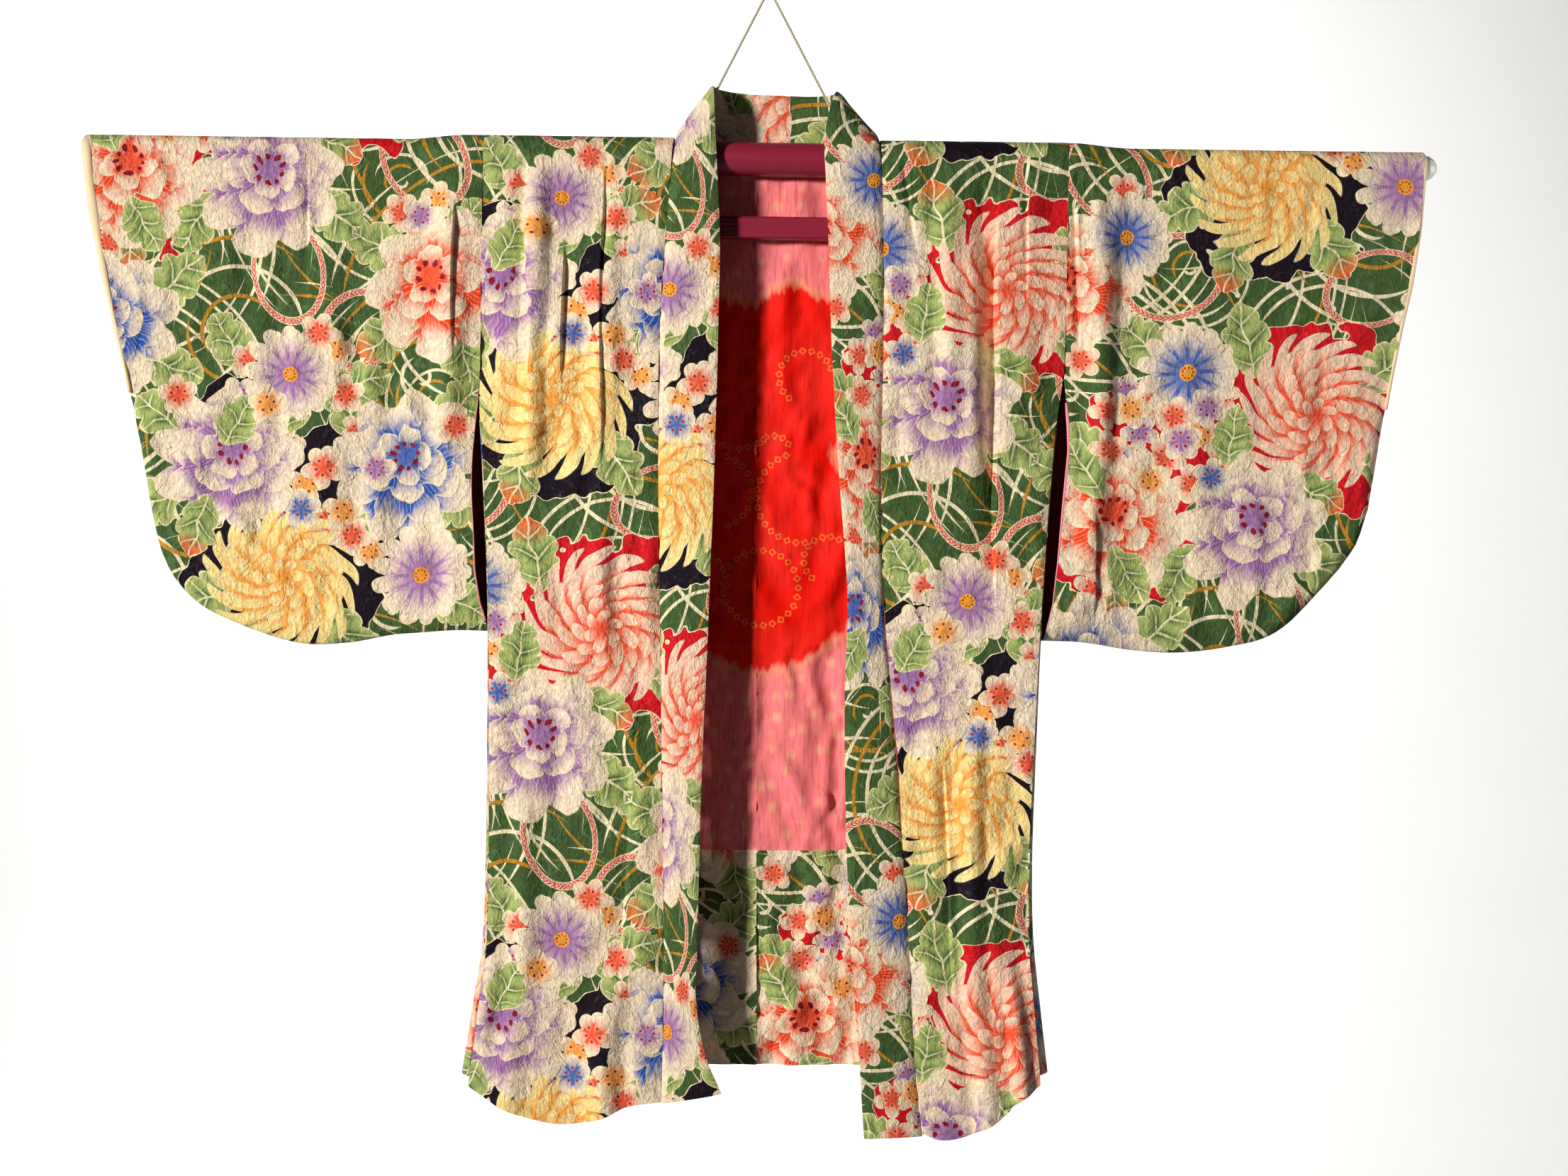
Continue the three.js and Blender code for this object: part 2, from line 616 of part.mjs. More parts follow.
const wasm = await Module();
wasm.setup();
function solid(geometry) {
  const bare = geometry.clone();
  bare.deleteAttribute("normal");
  bare.deleteAttribute("uv");
  const merged = mergeVertices(bare, 1e-4);
  const mesh = { numProp: 3, vertProperties: merged.attributes.position.array, triVerts: merged.index.array };
  return new wasm.Manifold(new wasm.Mesh(mesh));
}
function geometryOf(made) {
  const mesh = made.getMesh();
  const geometry = new THREE.BufferGeometry();
  geometry.setAttribute("position", new THREE.Float32BufferAttribute(mesh.vertProperties, 3));
  return geometry.setIndex([...mesh.triVerts]);
}
const barAlong = (radius, length, sides) =>
  new THREE.CylinderGeometry(radius, radius, length, sides).rotateZ(Math.PI / 2);

// The upper bar, with the two eyes that the cord comes out of.
function upperBar() {
  const SUNK = 3;
  let made = solid(barAlong(BAR_RADIUS, 2 * BAR_HALF, 32));
  for (const way of [-1, 1]) {
    const eye = new THREE.CylinderGeometry(EYE.radius, EYE.radius, EYE.height + SUNK, 16);
    eye.rotateX(Math.PI / 2).translate(way * CORD.eye, 0, BAR_RADIUS + (EYE.height - SUNK) / 2);
    made = made.add(solid(eye));
  }
  add("hanger_upper_bar", geometryOf(made), maroonPlastic, hanger);
}
upperBar();

// The lower bar: a rounded oblong section.
function lowerBar() {
  const { height, depth, round } = LOWER_BAR;
  const [y, z] = [depth / 2, height / 2];
  const shape = new THREE.Shape();
  shape.absarc(y - round, z - round, round, 0, Math.PI / 2);
  shape.absarc(-y + round, z - round, round, Math.PI / 2, Math.PI);
  shape.absarc(-y + round, -z + round, round, Math.PI, 1.5 * Math.PI);
  shape.absarc(y - round, -z + round, round, 1.5 * Math.PI, 2 * Math.PI);
  const length = 2 * (YOKE.at - YOKE.thick / 2 - CLEARANCE);
  const bar = new THREE.ExtrudeGeometry(shape, { depth: length, bevelEnabled: false, curveSegments: 4 });
  bar.translate(0, 0, -length / 2);
  bar.applyMatrix4(new THREE.Matrix4().set(0, 0, 1, 0, 1, 0, 0, 0, 0, 1, 0, -LOWER_BAR_BELOW, 0, 0, 0, 1));
  add("hanger_lower_bar", bar, maroonPlastic, hanger);
}
lowerBar();

// Yokes: plates that hug the underside of the upper bar and hold the lower bar between them.
function yoke(name, way) {
  const { thick, half, below } = YOKE;
  const seat = BAR_RADIUS + CLEARANCE;
  const spread = Math.asin(half / seat);
  const foot = -LOWER_BAR_BELOW - below + half;
  const shape = new THREE.Shape();
  shape.absarc(0, 0, seat, -Math.PI / 2 - spread, -Math.PI / 2 + spread, false);
  shape.absarc(0, foot, half, 0, -Math.PI, true);
  shape.closePath();
  const plate = new THREE.ExtrudeGeometry(shape, { depth: thick, bevelEnabled: false, curveSegments: 10 });
  plate.translate(0, 0, way * YOKE.at - thick / 2);
  plate.applyMatrix4(new THREE.Matrix4().set(0, 0, 1, 0, 1, 0, 0, 0, 0, 1, 0, 0, 0, 0, 0, 1));
  add(name, plate, maroonPlastic, hanger);
}
yoke("hanger_yoke_left", -1);
yoke("hanger_yoke_right", 1);

// Arms that run out through the sleeves, with domed tips.
function arm(name, way) {
  const from = BAR_HALF + CLEARANCE;
  const rod = barAlong(ARM_RADIUS, ARM_END - from, 24);
  rod.translate((way * (from + ARM_END)) / 2, 0, 0);
  add(name, rod, creamPlastic, hanger);
}
function tip(name, way) {
  const collarLength = 8;
  const dome = TIP_END - ARM_END - CLEARANCE - collarLength;
  const profile = [
    new THREE.Vector2(0, 0),
    new THREE.Vector2(TIP_RADIUS - 0.8, 0),
    new THREE.Vector2(TIP_RADIUS, 1),
  ];
  for (const t of evenly(4))
    profile.push(
      new THREE.Vector2(
        TIP_RADIUS * Math.cos((t * Math.PI) / 2) * (t < 1 ? 1 : 0),
        collarLength + dome * Math.sin((t * Math.PI) / 2),
      ),
    );
  const cap = new THREE.LatheGeometry(profile, 20).rotateZ(-Math.PI / 2);
  if (way < 0) cap.rotateZ(Math.PI);
  cap.translate(way * (ARM_END + CLEARANCE), 0, 0);
  add(name, cap, creamPlastic, hanger);
}
arm("hanger_arm_left", -1);
arm("hanger_arm_right", 1);
tip("hanger_tip_left", -1);
tip("hanger_tip_right", 1);

// The hanging cord: up from one eye, over the hook and down to the other.
function hangingCord() {
  hanger.updateMatrixWorld(true);
  const foot = BAR_RADIUS + EYE.height + CLEARANCE + 1;
  const ends = [-1, 1].map((way) =>
    new THREE.Vector3(way * CORD.eye, 0, foot).applyMatrix4(hanger.matrixWorld),
  );
  const centre = new THREE.Vector3(0, 0, CORD.radius - CORD.bend);
  const path = new THREE.CurvePath();
  // The straight runs touch the bend where they are square to its radius.
  const touch = ends.map((end, i) => {
    const way = i ? 1 : -1;
    const to = end.clone().sub(centre);
    const away = Math.atan2(to.z, to.x);
    const angle = away - way * -Math.acos(CORD.bend / to.length());
    return new THREE.Vector3(CORD.bend * Math.cos(angle), 0, CORD.bend * Math.sin(angle)).add(centre);
  });
  const crown = evenly(6).map((t) => {
    const a = Math.atan2(touch[0].z - centre.z, touch[0].x - centre.x);
    const b = Math.atan2(touch[1].z - centre.z, touch[1].x - centre.x);
    const angle = mix(a, b, t);
    return new THREE.Vector3(CORD.bend * Math.cos(angle), 0, CORD.bend * Math.sin(angle)).add(centre);
  });
  const along = (from, to, count) => evenly(count).slice(0, -1).map((t) => from.clone().lerp(to, t));
  const points = [...along(ends[0], touch[0], 8), ...crown, ...along(ends[1], touch[1], 8).reverse()];
  const section = new THREE.Shape();
  section.absarc(0, 0, CORD.radius, 0, 2 * Math.PI);
  const route = new THREE.CatmullRomCurve3(points, false, "centripetal");
  const tube = new THREE.ExtrudeGeometry(section, {
    steps: CORD.steps,
    curveSegments: CORD.sides / 2,
    extrudePath: route,
  });
  add("hanging_cord", tube, twistedCord);
}
hangingCord();

export default group;
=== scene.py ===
"""A haori, the thigh-length kimono jacket, on a telescopic rod hanger: cloth, print, lining and plastics."""

import math

import bpy
import numpy as np
from bpy.props import FloatProperty, FloatVectorProperty, PointerProperty
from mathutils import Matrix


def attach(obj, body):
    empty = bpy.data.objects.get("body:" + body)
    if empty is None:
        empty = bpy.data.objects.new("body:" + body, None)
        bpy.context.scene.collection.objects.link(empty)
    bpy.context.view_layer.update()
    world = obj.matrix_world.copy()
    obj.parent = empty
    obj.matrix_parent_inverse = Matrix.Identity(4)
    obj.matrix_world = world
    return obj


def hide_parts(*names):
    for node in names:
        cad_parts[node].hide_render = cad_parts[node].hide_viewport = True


bl_info = {
    "name": "Haori on a hanger",
    "version": (1, 0, 0),
    "blender": (4, 5, 0),
    "location": "View3D > Sidebar > Haori",
    "description": "Dresses a haori and its rod hanger with printed crepe, lining, seams and plastics",
    "category": "Add Mesh",
}

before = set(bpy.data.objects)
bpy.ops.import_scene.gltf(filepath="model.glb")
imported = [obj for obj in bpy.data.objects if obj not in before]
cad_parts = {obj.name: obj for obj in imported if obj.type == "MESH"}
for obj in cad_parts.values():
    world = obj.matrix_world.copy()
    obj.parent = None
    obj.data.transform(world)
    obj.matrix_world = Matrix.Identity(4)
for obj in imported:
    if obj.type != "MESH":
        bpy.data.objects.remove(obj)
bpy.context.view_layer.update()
MM = 0.001
FRONT, BACK = -1, 1
PANEL = {FRONT: "front", BACK: "back"}

# ---- the hanger and the hang of the cloth, in millimetres, as the solids have them ----
BAR_Z, TILT = -149.5, 0.0136
BODY_RADIUS, SLEEVE_RADIUS = 17.1, 12.6
SLEEVE_FROM, SLEEVE_BLEND = 276, 60
HEM_SPREAD, BODY_DROP = {FRONT: 5, BACK: 4}, 900
SLEEVE_TAPER, SLEEVE_DROP = 0.33, 450
GATHERED, GATHER_X, GATHER_WIDE, GATHER_DROP, GATHER_HIGH = 0.45, 266, 45, 240, 90
CENTRE_BACK = -12
CLOSED_EDGE, CUFF_DROP = 30, 225
SHELL, WALL, BAND = 2.0, 1.3, 3.0  # height of the cloth's outer face, its wall, and the doubled collar band
ACROSS, DOWN = 3.0, 4.2  # spacing of the cloth's mesh
BACK_LENGTH = 858
BACK_SEAM = [(CENTRE_BACK, drop) for drop in (11, 200, 500, BACK_LENGTH)]
FACED_FROM = 656  # below this drop the inside is faced with the print

# ---- the cut: edges as (x, drop below the ridge over the rod) ----
LEFT = {
    "collar_seam": [(-88, 0), (-95, 90), (-100, 162), (-102, 306), (-100, 450), (-98.5, 593), (-96.5, 737),
                    (-98.5, 886)],
    "side": [(-262.5, 0), (-264, 92), (-266.5, 222), (-267, 242), (-263, 308), (-258, 420), (-257, 560),
             (-257, 667), (-259, 745), (-267, 805), (-276, 874)],
    "front_hem": [(-98.5, 886), (-131, 891), (-160, 903), (-195, 907), (-239, 896), (-276, 874)],
    "neckline": [(CENTRE_BACK, 11), (-50, 9.5), (-76, 4.5), (-88, 0), (-140, 0), (-200, 0), (-262.5, 0)],
    "back_hem": [(CENTRE_BACK, BACK_LENGTH), (-140, 860), (-276, 868)],
    "sleeve_inner": [(-262.5, 0), (-264, 92), (-266.5, 222), (-267, 242), (-270, 308), (-267, 380),
                     (-265, 455)],
    "sleeve_outer": [(-629, 0), (-623, 57), (-611, 129), (-591, 222), (-580, 279), (-569, 344)],
    "sleeve_bottom": [(-265, 455), (-339, 454), (-390, 463), (-433, 464), (-490, 447), (-530, 426),
                      (-555, 394), (-569, 344)],
}
RIGHT = {
    "collar_seam": [(103, 0), (105, 87), (105, 195), (103, 303), (104.5, 411), (110, 483), (118.5, 576),
                    (123, 662), (128, 734), (133.5, 842), (141, 912)],
    "side": [(275.5, 0), (274, 85), (272, 192), (271.5, 210), (264.5, 260), (259.5, 305), (250, 430),
             (243, 560), (238, 665), (238, 735), (243, 795), (249, 866)],
    "front_hem": [(141, 912), (155, 917), (176, 915), (211, 898), (230, 880), (249, 866)],
    "neckline": [(CENTRE_BACK, 11), (60, 9.5), (91, 4.5), (103, 0), (150, 0), (210, 0), (275.5, 0)],
    "back_hem": [(CENTRE_BACK, BACK_LENGTH), (120, BACK_LENGTH), (249, 860)],
    "sleeve_inner": [(275.5, 0), (274, 85), (272, 192), (271.5, 210), (271, 268), (267.5, 312), (262.5, 370),
                     (256, 457)],
    "sleeve_outer": [(604, 0), (599, 62), (592, 112), (577, 184), (566.5, 242), (552, 329)],
    "sleeve_bottom": [(256, 457), (308, 458), (372, 462), (423, 456), (466, 443), (516, 394), (538, 365),
                      (552, 329)],
}
CUT = {"left": LEFT, "right": RIGHT}
WAY = {"left": -1, "right": 1}

# The largest folds: (share across the panel, half width, depth, from drop, to drop). The solids have them
# too, and one more on the right front, which is pressed into a tuck here.
FOLDS = {
    "front_left": [(0.7, 0.09, 8, 5, 330), (0.32, 0.12, 5, 60, 520), (0.3, 0.13, 8, 760, 1100),
                   (0.78, 0.12, 5, 560, 1100)],
    "front_right": [(0.36, 0.1, 5, 10, 300), (0.5, 0.14, 6, 520, 1100), (0.84, 0.12, 9, 740, 1100)],
    "back_left": [(0.34, 0.12, 6, 120, 1100), (0.72, 0.11, 7, 10, 560)],
    "back_right": [(0.3, 0.12, 6, 200, 1100), (0.68, 0.12, 8, 10, 480)],
    "sleeve_left": [(0.08, 0.06, 6, 10, 330), (0.4, 0.11, 3.5, 60, 400)],
    "sleeve_right": [(0.09, 0.06, 7, 10, 420), (0.36, 0.1, 3.5, 20, 390)],
}

# Tucks: (x, drop) to (x, drop), how high the cloth stands at the tuck's edge, how deep it lies beside it,
# how far that slope runs, and the side it lies on.
TUCKS = {
    "front_left": [(-220, 12, -221, 330, 2.4, 5.0, 13, -1), (-190, 96, -190, 240, 2.2, 4.4, 13, 1),
                   (-153, 14, -156, 340, 1.6, 3.0, 10, 1), (-124, 560, -136, 800, 1.6, 2.6, 12, -1)],
    "front_right": [(212, -6, 208, 440, 4.6, 21, 25, -1), (125, 16, 140, 110, 1.2, 3.0, 7, -1),
                    (240, 8, 236, 170, 1.4, 2.4, 9, -1), (160, 560, 172, 800, 1.5, 2.6, 12, -1)],
    "back_left": [(-206, 8, -214, 350, 2.2, 2.6, 12, 1), (-152, 300, -158, 560, 1.5, 1.8, 11, -1)],
    "back_right": [(214, 8, 221, 370, 2.4, 3.0, 14, -1), (150, 260, 152, 520, 1.5, 1.8, 11, 1)],
    "sleeve_left_front": [(-290, 56, -292, 216, 2.0, 4.2, 12, 1), (-420, 14, -426, 190, 1.0, 1.4, 10, -1)],
    "sleeve_left_back": [(-300, 30, -303, 240, 1.8, 2.4, 10, 1)],
    "sleeve_right_front": [(284, 44, 286, 196, 2.0, 4.6, 12, -1), (298, 330, 297, 452, 1.5, 2.6, 10, 1)],
    "sleeve_right_back": [(302, 30, 305, 260, 1.8, 2.4, 10, -1)],
}

# Creases on each piece: (x, drop) to (x, drop), width, and height, which is negative in a trough.
CREASES = {
    "front_left": [(-240, 40, -247, 190, 6, 1.6), (-176, 380, -160, 610, 9, 1.5),
                   (-225, 420, -232, 640, 8, -1.6), (-204, 716, -122, 744, 5, 1.5),
                   (-190, 752, -128, 764, 4, -1.3), (-130, 560, -140, 760, 7, -1.3),
                   (-250, 690, -262, 850, 7, 2.0), (-180, 780, -196, 900, 9, -2.2),
                   (-125, 790, -118, 890, 8, 1.8), (-110, 240, -112, 520, 6, 1.0)],
    "front_right": [(182, 30, 186, 330, 8, 2.2), (150, 12, 153, 260, 5, -1.6),
                    (133, 498, 234, 506, 2.2, -1.6), (133, 504, 234, 513, 3, 1.0),
                    (165, 540, 178, 760, 8, -1.8), (205, 600, 212, 840, 8, 2.0),
                    (236, 620, 232, 800, 6, -1.8), (128, 330, 134, 470, 7, 1.2),
                    (190, 800, 188, 905, 8, -2.4), (252, 240, 246, 420, 6, 1.5)],
    "back_left": [(-70, 60, -84, 520, 9, -2.0), (-120, 540, -104, 850, 10, 1.9),
                  (-190, 500, -205, 840, 9, -2.2), (-40, 640, -46, 850, 9, 1.6),
                  (-228, 610, -176, 640, 5, 1.2), (-90, 420, -40, 436, 4, -1.0)],
    "back_right": [(60, 60, 72, 560, 9, -2.0), (110, 500, 96, 850, 10, 1.9), (180, 480, 190, 850, 9, -2.2),
                   (30, 600, 34, 850, 9, 1.6), (150, 430, 232, 446, 4, -1.2), (60, 700, 120, 716, 4, 1.0)],
    "sleeve_left_front": [(-340, 242, -278, 292, 5, 1.6), (-332, 262, -282, 306, 4, -1.2),
                          (-420, 20, -430, 260, 8, -1.5), (-520, 30, -512, 300, 9, 1.5),
                          (-360, 300, -372, 440, 8, 1.4), (-470, 300, -452, 430, 8, -1.5),
                          (-575, 40, -566, 210, 6, -1.2), (-300, 380, -306, 445, 6, -1.4),
                          (-535, 300, -505, 400, 6, 1.3)],
    "sleeve_left_back": [(-380, 30, -386, 320, 8, -1.6), (-480, 60, -470, 380, 9, 1.6),
                         (-548, 50, -540, 240, 6, -1.4), (-330, 250, -286, 300, 5, 1.4),
                         (-420, 340, -428, 440, 7, -1.3)],
    "sleeve_right_front": [(330, 20, 334, 250, 7, -1.8), (306, 30, 308, 300, 6, 1.6),
                           (420, 16, 428, 270, 9, 1.5), (500, 20, 492, 250, 8, -1.5),
                           (556, 30, 546, 200, 6, 1.2), (380, 300, 372, 440, 8, -1.3),
                           (450, 310, 440, 430, 8, 1.4), (340, 250, 300, 300, 5, 1.2)],
    "sleeve_right_back": [(370, 20, 376, 330, 8, -1.6), (460, 50, 452, 380, 9, 1.6),
                          (530, 40, 520, 240, 6, -1.4), (335, 260, 292, 310, 5, 1.4),
                          (410, 330, 400, 440, 7, -1.3)],
    "lining_upper": [(44, 240, 26, 300, 4, -1.6), (18, 300, 50, 330, 4, 1.5), (52, 300, 40, 420, 4, 1.6),
                     (66, 200, 70, 330, 4, -1.4), (30, 330, 60, 372, 7, -1.8), (-20, 300, 34, 352, 8, 1.5),
                     (-46, 120, -30, 430, 9, -1.5), (64, 60, 52, 300, 9, 1.6), (16, 60, 10, 280, 7, -1.2),
                     (-5, 380, 30, 455, 7, 1.5), (80, 350, 40, 440, 8, -1.5), (-170, 60, -160, 440, 12, -2),
                     (170, 60, 176, 440, 12, -2)],
    "lining_lower": [(46, 466, 60, 540, 4.5, 1.6), (60, 540, 44, 640, 6, -1.3), (20, 470, 34, 530, 4, 1.4),
                     (78, 500, 60, 580, 4, 1.6), (34, 590, 64, 610, 3.5, 1.5), (86, 560, 80, 640, 5, 1.1),
                     (10, 600, 16, 650, 4, 1.2), (-30, 470, -18, 640, 9, -1.4), (24, 500, 58, 610, 8, 1.8),
                     (70, 470, 76, 640, 8, -1.4), (10, 560, 40, 650, 6, -1.3), (-60, 500, -40, 560, 6, 1.2),
                     (45, 600, 70, 645, 4, -1.5)],
    "hem_facing": [(-40, 670, -36, 840, 9, 1.4), (22, 665, 34, 700, 6, 1.6), (40, 690, 20, 850, 9, -1.6),
                   (84, 670, 76, 850, 9, 1.3)],
}

# The collar band: height of the section, its free edge, and how far that edge stands in front of the seam.
BANDS = {
    "left": [(-1018.5, -43, -1008, 7), (-970, -58.5, -970, 9), (-925, -66, -925, 9), (-869, -65, -869, 8),
             (-725, -61.5, -725, 7), (-582, -55.5, -582, 6), (-438, -50, -438, 6), (-294, -46, -294, 5),
             (-222, -45, -222, 5), (-172, -47, -170, 4)],
    "right": [(-1048, 86.5, -1049, 7), (-977, 82, -977, 8), (-869, 74, -869, 8), (-760, 70, -760, 7),
              (-640, 69, -640, 6), (-560, 71.5, -560, 7), (-438, 63.5, -438, 6), (-330, 57.5, -330, 5),
              (-222, 54, -222, 5), (-174, 52, -172, 4)],
}
# Round the neck: the sewn edge and the free edge, as x, y, z.
NECKS = {
    "left": [(-86.5, -15.5, -140, -49, -20, -128), (-85, 0, -130, -50, -10, -86),
             (-74.5, 10.5, -133.6, -50.5, 8, -80.5), (-52, 15.2, -137.8, -44, 19, -81),
             (-20, 16.3, -140, -18, 21, -84.5), (19.4, 16.5, -141, 19.4, 21, -86)],
    "right": [(101.5, -15.5, -142.5, 51, -20, -130), (100, 0, -132.5, 59, -10, -92),
              (89.5, 10.5, -135.6, 62, 8, -86.5), (66, 15.2, -139.3, 56, 19, -86),
              (40, 16.5, -141.5, 38, 21, -86.5), (19.5, 16.5, -141, 19.5, 21, -86)],
}

# ---- the print: a repeat of a bolt 380 mm wide, in millimetres, a table for each layer, ground first ----
REPEAT = 680
VIOLET, BLUE, CORAL, GOLD = range(4)
OUTLINE = "#f2e2bd"  # undyed silk, which outlines every petal and leaf
# Patches of dark and of scarlet ground: x, y, radius.
AUBERGINE_GROUND = [
    (238, 562, 66), (200, 540, 42), (286, 534, 42), (250, 606, 42), (192, 494, 88), (150, 640, 40),
]
SCARLET_GROUND = [
    (104, 256, 62), (150, 242, 42), (66, 274, 42), (126, 292, 40), (244, 284, 88), (46, 184, 78),
]
# Centres round which the lines sweep, one table for each of three crossing sets.
SWEEPS = [
    [(-70, 140), (120, 420), (300, 180), (430, 420), (40, 640), (330, 660)],
    [(30, 470), (250, 330), (60, 120), (380, 60), (200, 620), (400, 560)],
    [(150, 40), (10, 300), (290, 470), (400, 250), (110, 560), (320, 0)],
]
# Braided cords: x, y, radius, angle, squash.
CORDS = [(104, 412, 46, 200, 0.8), (290, 404, 46, 20, 0.7), (196, 96, 46, 100, 0.7),
         (322, 196, 46, 130, 0.75), (44, 500, 44, 310, 0.8), (262, 44, 36, 230, 0.9)]
# Leaves: x, y, half length, angle, and 1 where the tip may be flushed with coral.
LEAVES_LOW = [
    (80, 642, 35, 140, 0), (198, 658, 33, 80, 1), (66, 560, 35, 200, 0), (250, 652, 33, 100, 1),
    (356, 560, 33, 340, 0), (354, 652, 33, 40, 1), (116, 474, 35, 200, 0), (250, 440, 35, 300, 1),
    (354, 470, 33, 330, 0), (160, 428, 33, 250, 1), (304, 334, 35, 40, 0), (172, 356, 35, 100, 1),
    (76, 352, 33, 130, 0), (18, 252, 33, 160, 1), (110, 138, 33, 240, 0), (244, 146, 35, 320, 1),
    (308, 238, 35, 350, 0), (46, 124, 33, 280, 1), (276, 122, 35, 150, 0), (284, 36, 33, 210, 1),
    (358, 16, 33, 280, 0), (92, 88, 35, 40, 1), (90, 6, 33, 340, 0), (140, 34, 31, 120, 0),
    (260, -8, 33, 20, 1),
]
LEAVES_HIGH = [
    (112, 540, 30, 250, 1), (268, 556, 28, 250, 0), (160, 268, 30, 80, 0), (238, 214, 30, 330, 1),
    (22, 232, 30, 120, 1), (322, 540, 30, 300, 1), (64, 136, 30, 300, 0), (360, 136, 30, 60, 0),
    (20, 10, 30, 240, 0), (150, 640, 28, 60, 0),
]
# Flowers: x, y, radius, angle, colour.
BLOSSOMS_LOW = [
    (232, 548, 19, 10, CORAL), (262, 576, 20, 40, CORAL), (212, 580, 19, 80, GOLD),
    (244, 606, 19, 20, VIOLET), (284, 548, 19, 60, CORAL), (270, 520, 18, 5, GOLD), (196, 612, 18, 30, CORAL),
    (98, 246, 20, 50, CORAL), (130, 268, 19, 15, GOLD), (74, 270, 19, 50, VIOLET), (122, 222, 19, 35, CORAL),
    (152, 246, 18, 75, CORAL), (54, 246, 18, 25, BLUE), (90, 298, 19, 60, CORAL), (160, 14, 19, 0, CORAL),
    (238, 24, 19, 10, GOLD), (150, -18, 18, 50, VIOLET), (248, -16, 19, 20, CORAL), (300, 152, 19, 55, CORAL),
    (334, 160, 18, 75, GOLD), (20, 330, 18, 33, CORAL), (30, 120, 19, 12, CORAL), (366, 610, 18, 44, GOLD),
    (60, 490, 18, 66, CORAL), (214, 528, 18, 14, CORAL), (186, 556, 18, 52, VIOLET),
    (260, 630, 18, 61, CORAL), (300, 570, 17, 24, CORAL), (44, 286, 18, 48, CORAL), (172, 226, 17, 36, GOLD),
    (150, 304, 17, 12, CORAL), (62, 306, 18, 70, VIOLET),
]
CHRYSANTHEMUMS = [(238, 286, 75, 0, CORAL), (190, 496, 73, 40, GOLD)]
PEONIES_LOW = [(140, 602, 72, 10, VIOLET), (50, 186, 70, 30, CORAL), (30, 48, 68, 60, BLUE),
               (14, 402, 62, 90, CORAL)]
PEONIES_HIGH = [(306, 598, 72, 50, BLUE), (178, 180, 72, 20, VIOLET), (336, 84, 72, 70, CORAL)]
DAISIES = [(318, 498, 47, 0, VIOLET), (118, 324, 47, 3, BLUE), (198, 2, 45, 8, VIOLET),
           (358, 268, 43, 5, BLUE), (352, 372, 45, 6, VIOLET), (62, 448, 43, 1, BLUE)]
BLOSSOMS_HIGH = [
    (246, 556, 19, 10, GOLD), (228, 596, 20, 50, CORAL), (276, 596, 19, 80, VIOLET), (208, 558, 19, 20, BLUE),
    (254, 534, 19, 60, CORAL), (112, 262, 20, 20, VIOLET), (84, 224, 19, 40, GOLD), (140, 228, 19, 10, BLUE),
    (106, 284, 19, 70, CORAL), (66, 290, 19, 0, GOLD), (136, 292, 19, 50, VIOLET), (176, -26, 19, 20, GOLD),
    (224, 40, 19, 65, CORAL), (318, 148, 19, 0, VIOLET), (350, 238, 18, 45, CORAL), (350, 632, 19, 5, CORAL),
    (94, 662, 19, 25, CORAL), (46, 250, 19, 35, CORAL),
]
FLOWERS = {"blossom_low": BLOSSOMS_LOW, "chrysanthemum": CHRYSANTHEMUMS, "peony_low": PEONIES_LOW,
           "peony_high": PEONIES_HIGH, "daisy": DAISIES, "blossom_high": BLOSSOMS_HIGH}


def linear(code):
    """An sRGB hex value as a linear colour."""
    parts = [int(code[i : i + 2], 16) / 255 for i in (1, 3, 5)]
    return tuple(c / 12.92 if c <= 0.04045 else ((c + 0.055) / 1.055) ** 2.4 for c in parts)


def rgba(colour):
    """A colour for a socket: hex codes are turned to linear, and linear colours stay."""
    return (*(linear(colour) if isinstance(colour, str) else colour), 1)


def dye(name, code):
    """A colour that the panel can change."""
    return FloatVectorProperty(name=name, description=f"{name} of the print", default=linear(code), size=3,
                               min=0, max=1, subtype="COLOR")


class HaoriPrint(bpy.types.PropertyGroup):
    """Dyes of the shell's print"""

    green: dye("Green ground", "#425c32")
    aubergine: dye("Aubergine ground", "#150a17")
    scarlet: dye("Scarlet ground", "#d01420")
    petal: dye("Undyed petal", "#efdcc0")
    coral: dye("Coral petal", "#ea4014")
    violet: dye("Violet petal", "#9766a8")
    blue: dye("Blue petal", "#2355b0")
    gold: dye("Gold petal", "#f0982e")
    pale_gold: dye("Pale gold petal", "#f6dc92")
    leaf_pale: dye("Pale leaf", "#b3c076")
    leaf_deep: dye("Deep leaf", "#37692a")
    line: dye("Pale line", "#ecdfba")
    ochre: dye("Ochre line", "#bb862a")


class HaoriCloth(bpy.types.PropertyGroup):
    """Sizes of the cloth"""

    wrinkle: FloatProperty(name="Wrinkle height", description="Height of the crepe's soft wrinkles",
                           default=0.6 * MM, min=0, max=0.003, unit="LENGTH")
    pucker: FloatProperty(name="Pucker height", description="Height of the puckers along sewn edges",
                          default=1.0 * MM, min=0, max=0.003, unit="LENGTH")
    crease: FloatProperty(name="Crease strength", description="Share of the creases' depth that shows",
                          default=1.5, min=0, max=3, subtype="FACTOR")


class HaoriFinish(bpy.types.PropertyGroup):
    """Colours of lining and hanger"""

    red: dye("Red lining", "#ea1204")
    pink: dye("Pink lining", "#f27e82")
    dots: dye("Undyed dots of the lining", "#ecc08a")
    maroon: dye("Maroon sleeve lining", "#8c1a2c")
    plastic: dye("Hanger plastic", "#8f1f3a")
    cap: dye("Hanger cap", "#f0ede0")
    thread: dye("Hanging cord", "#d9d2bd")


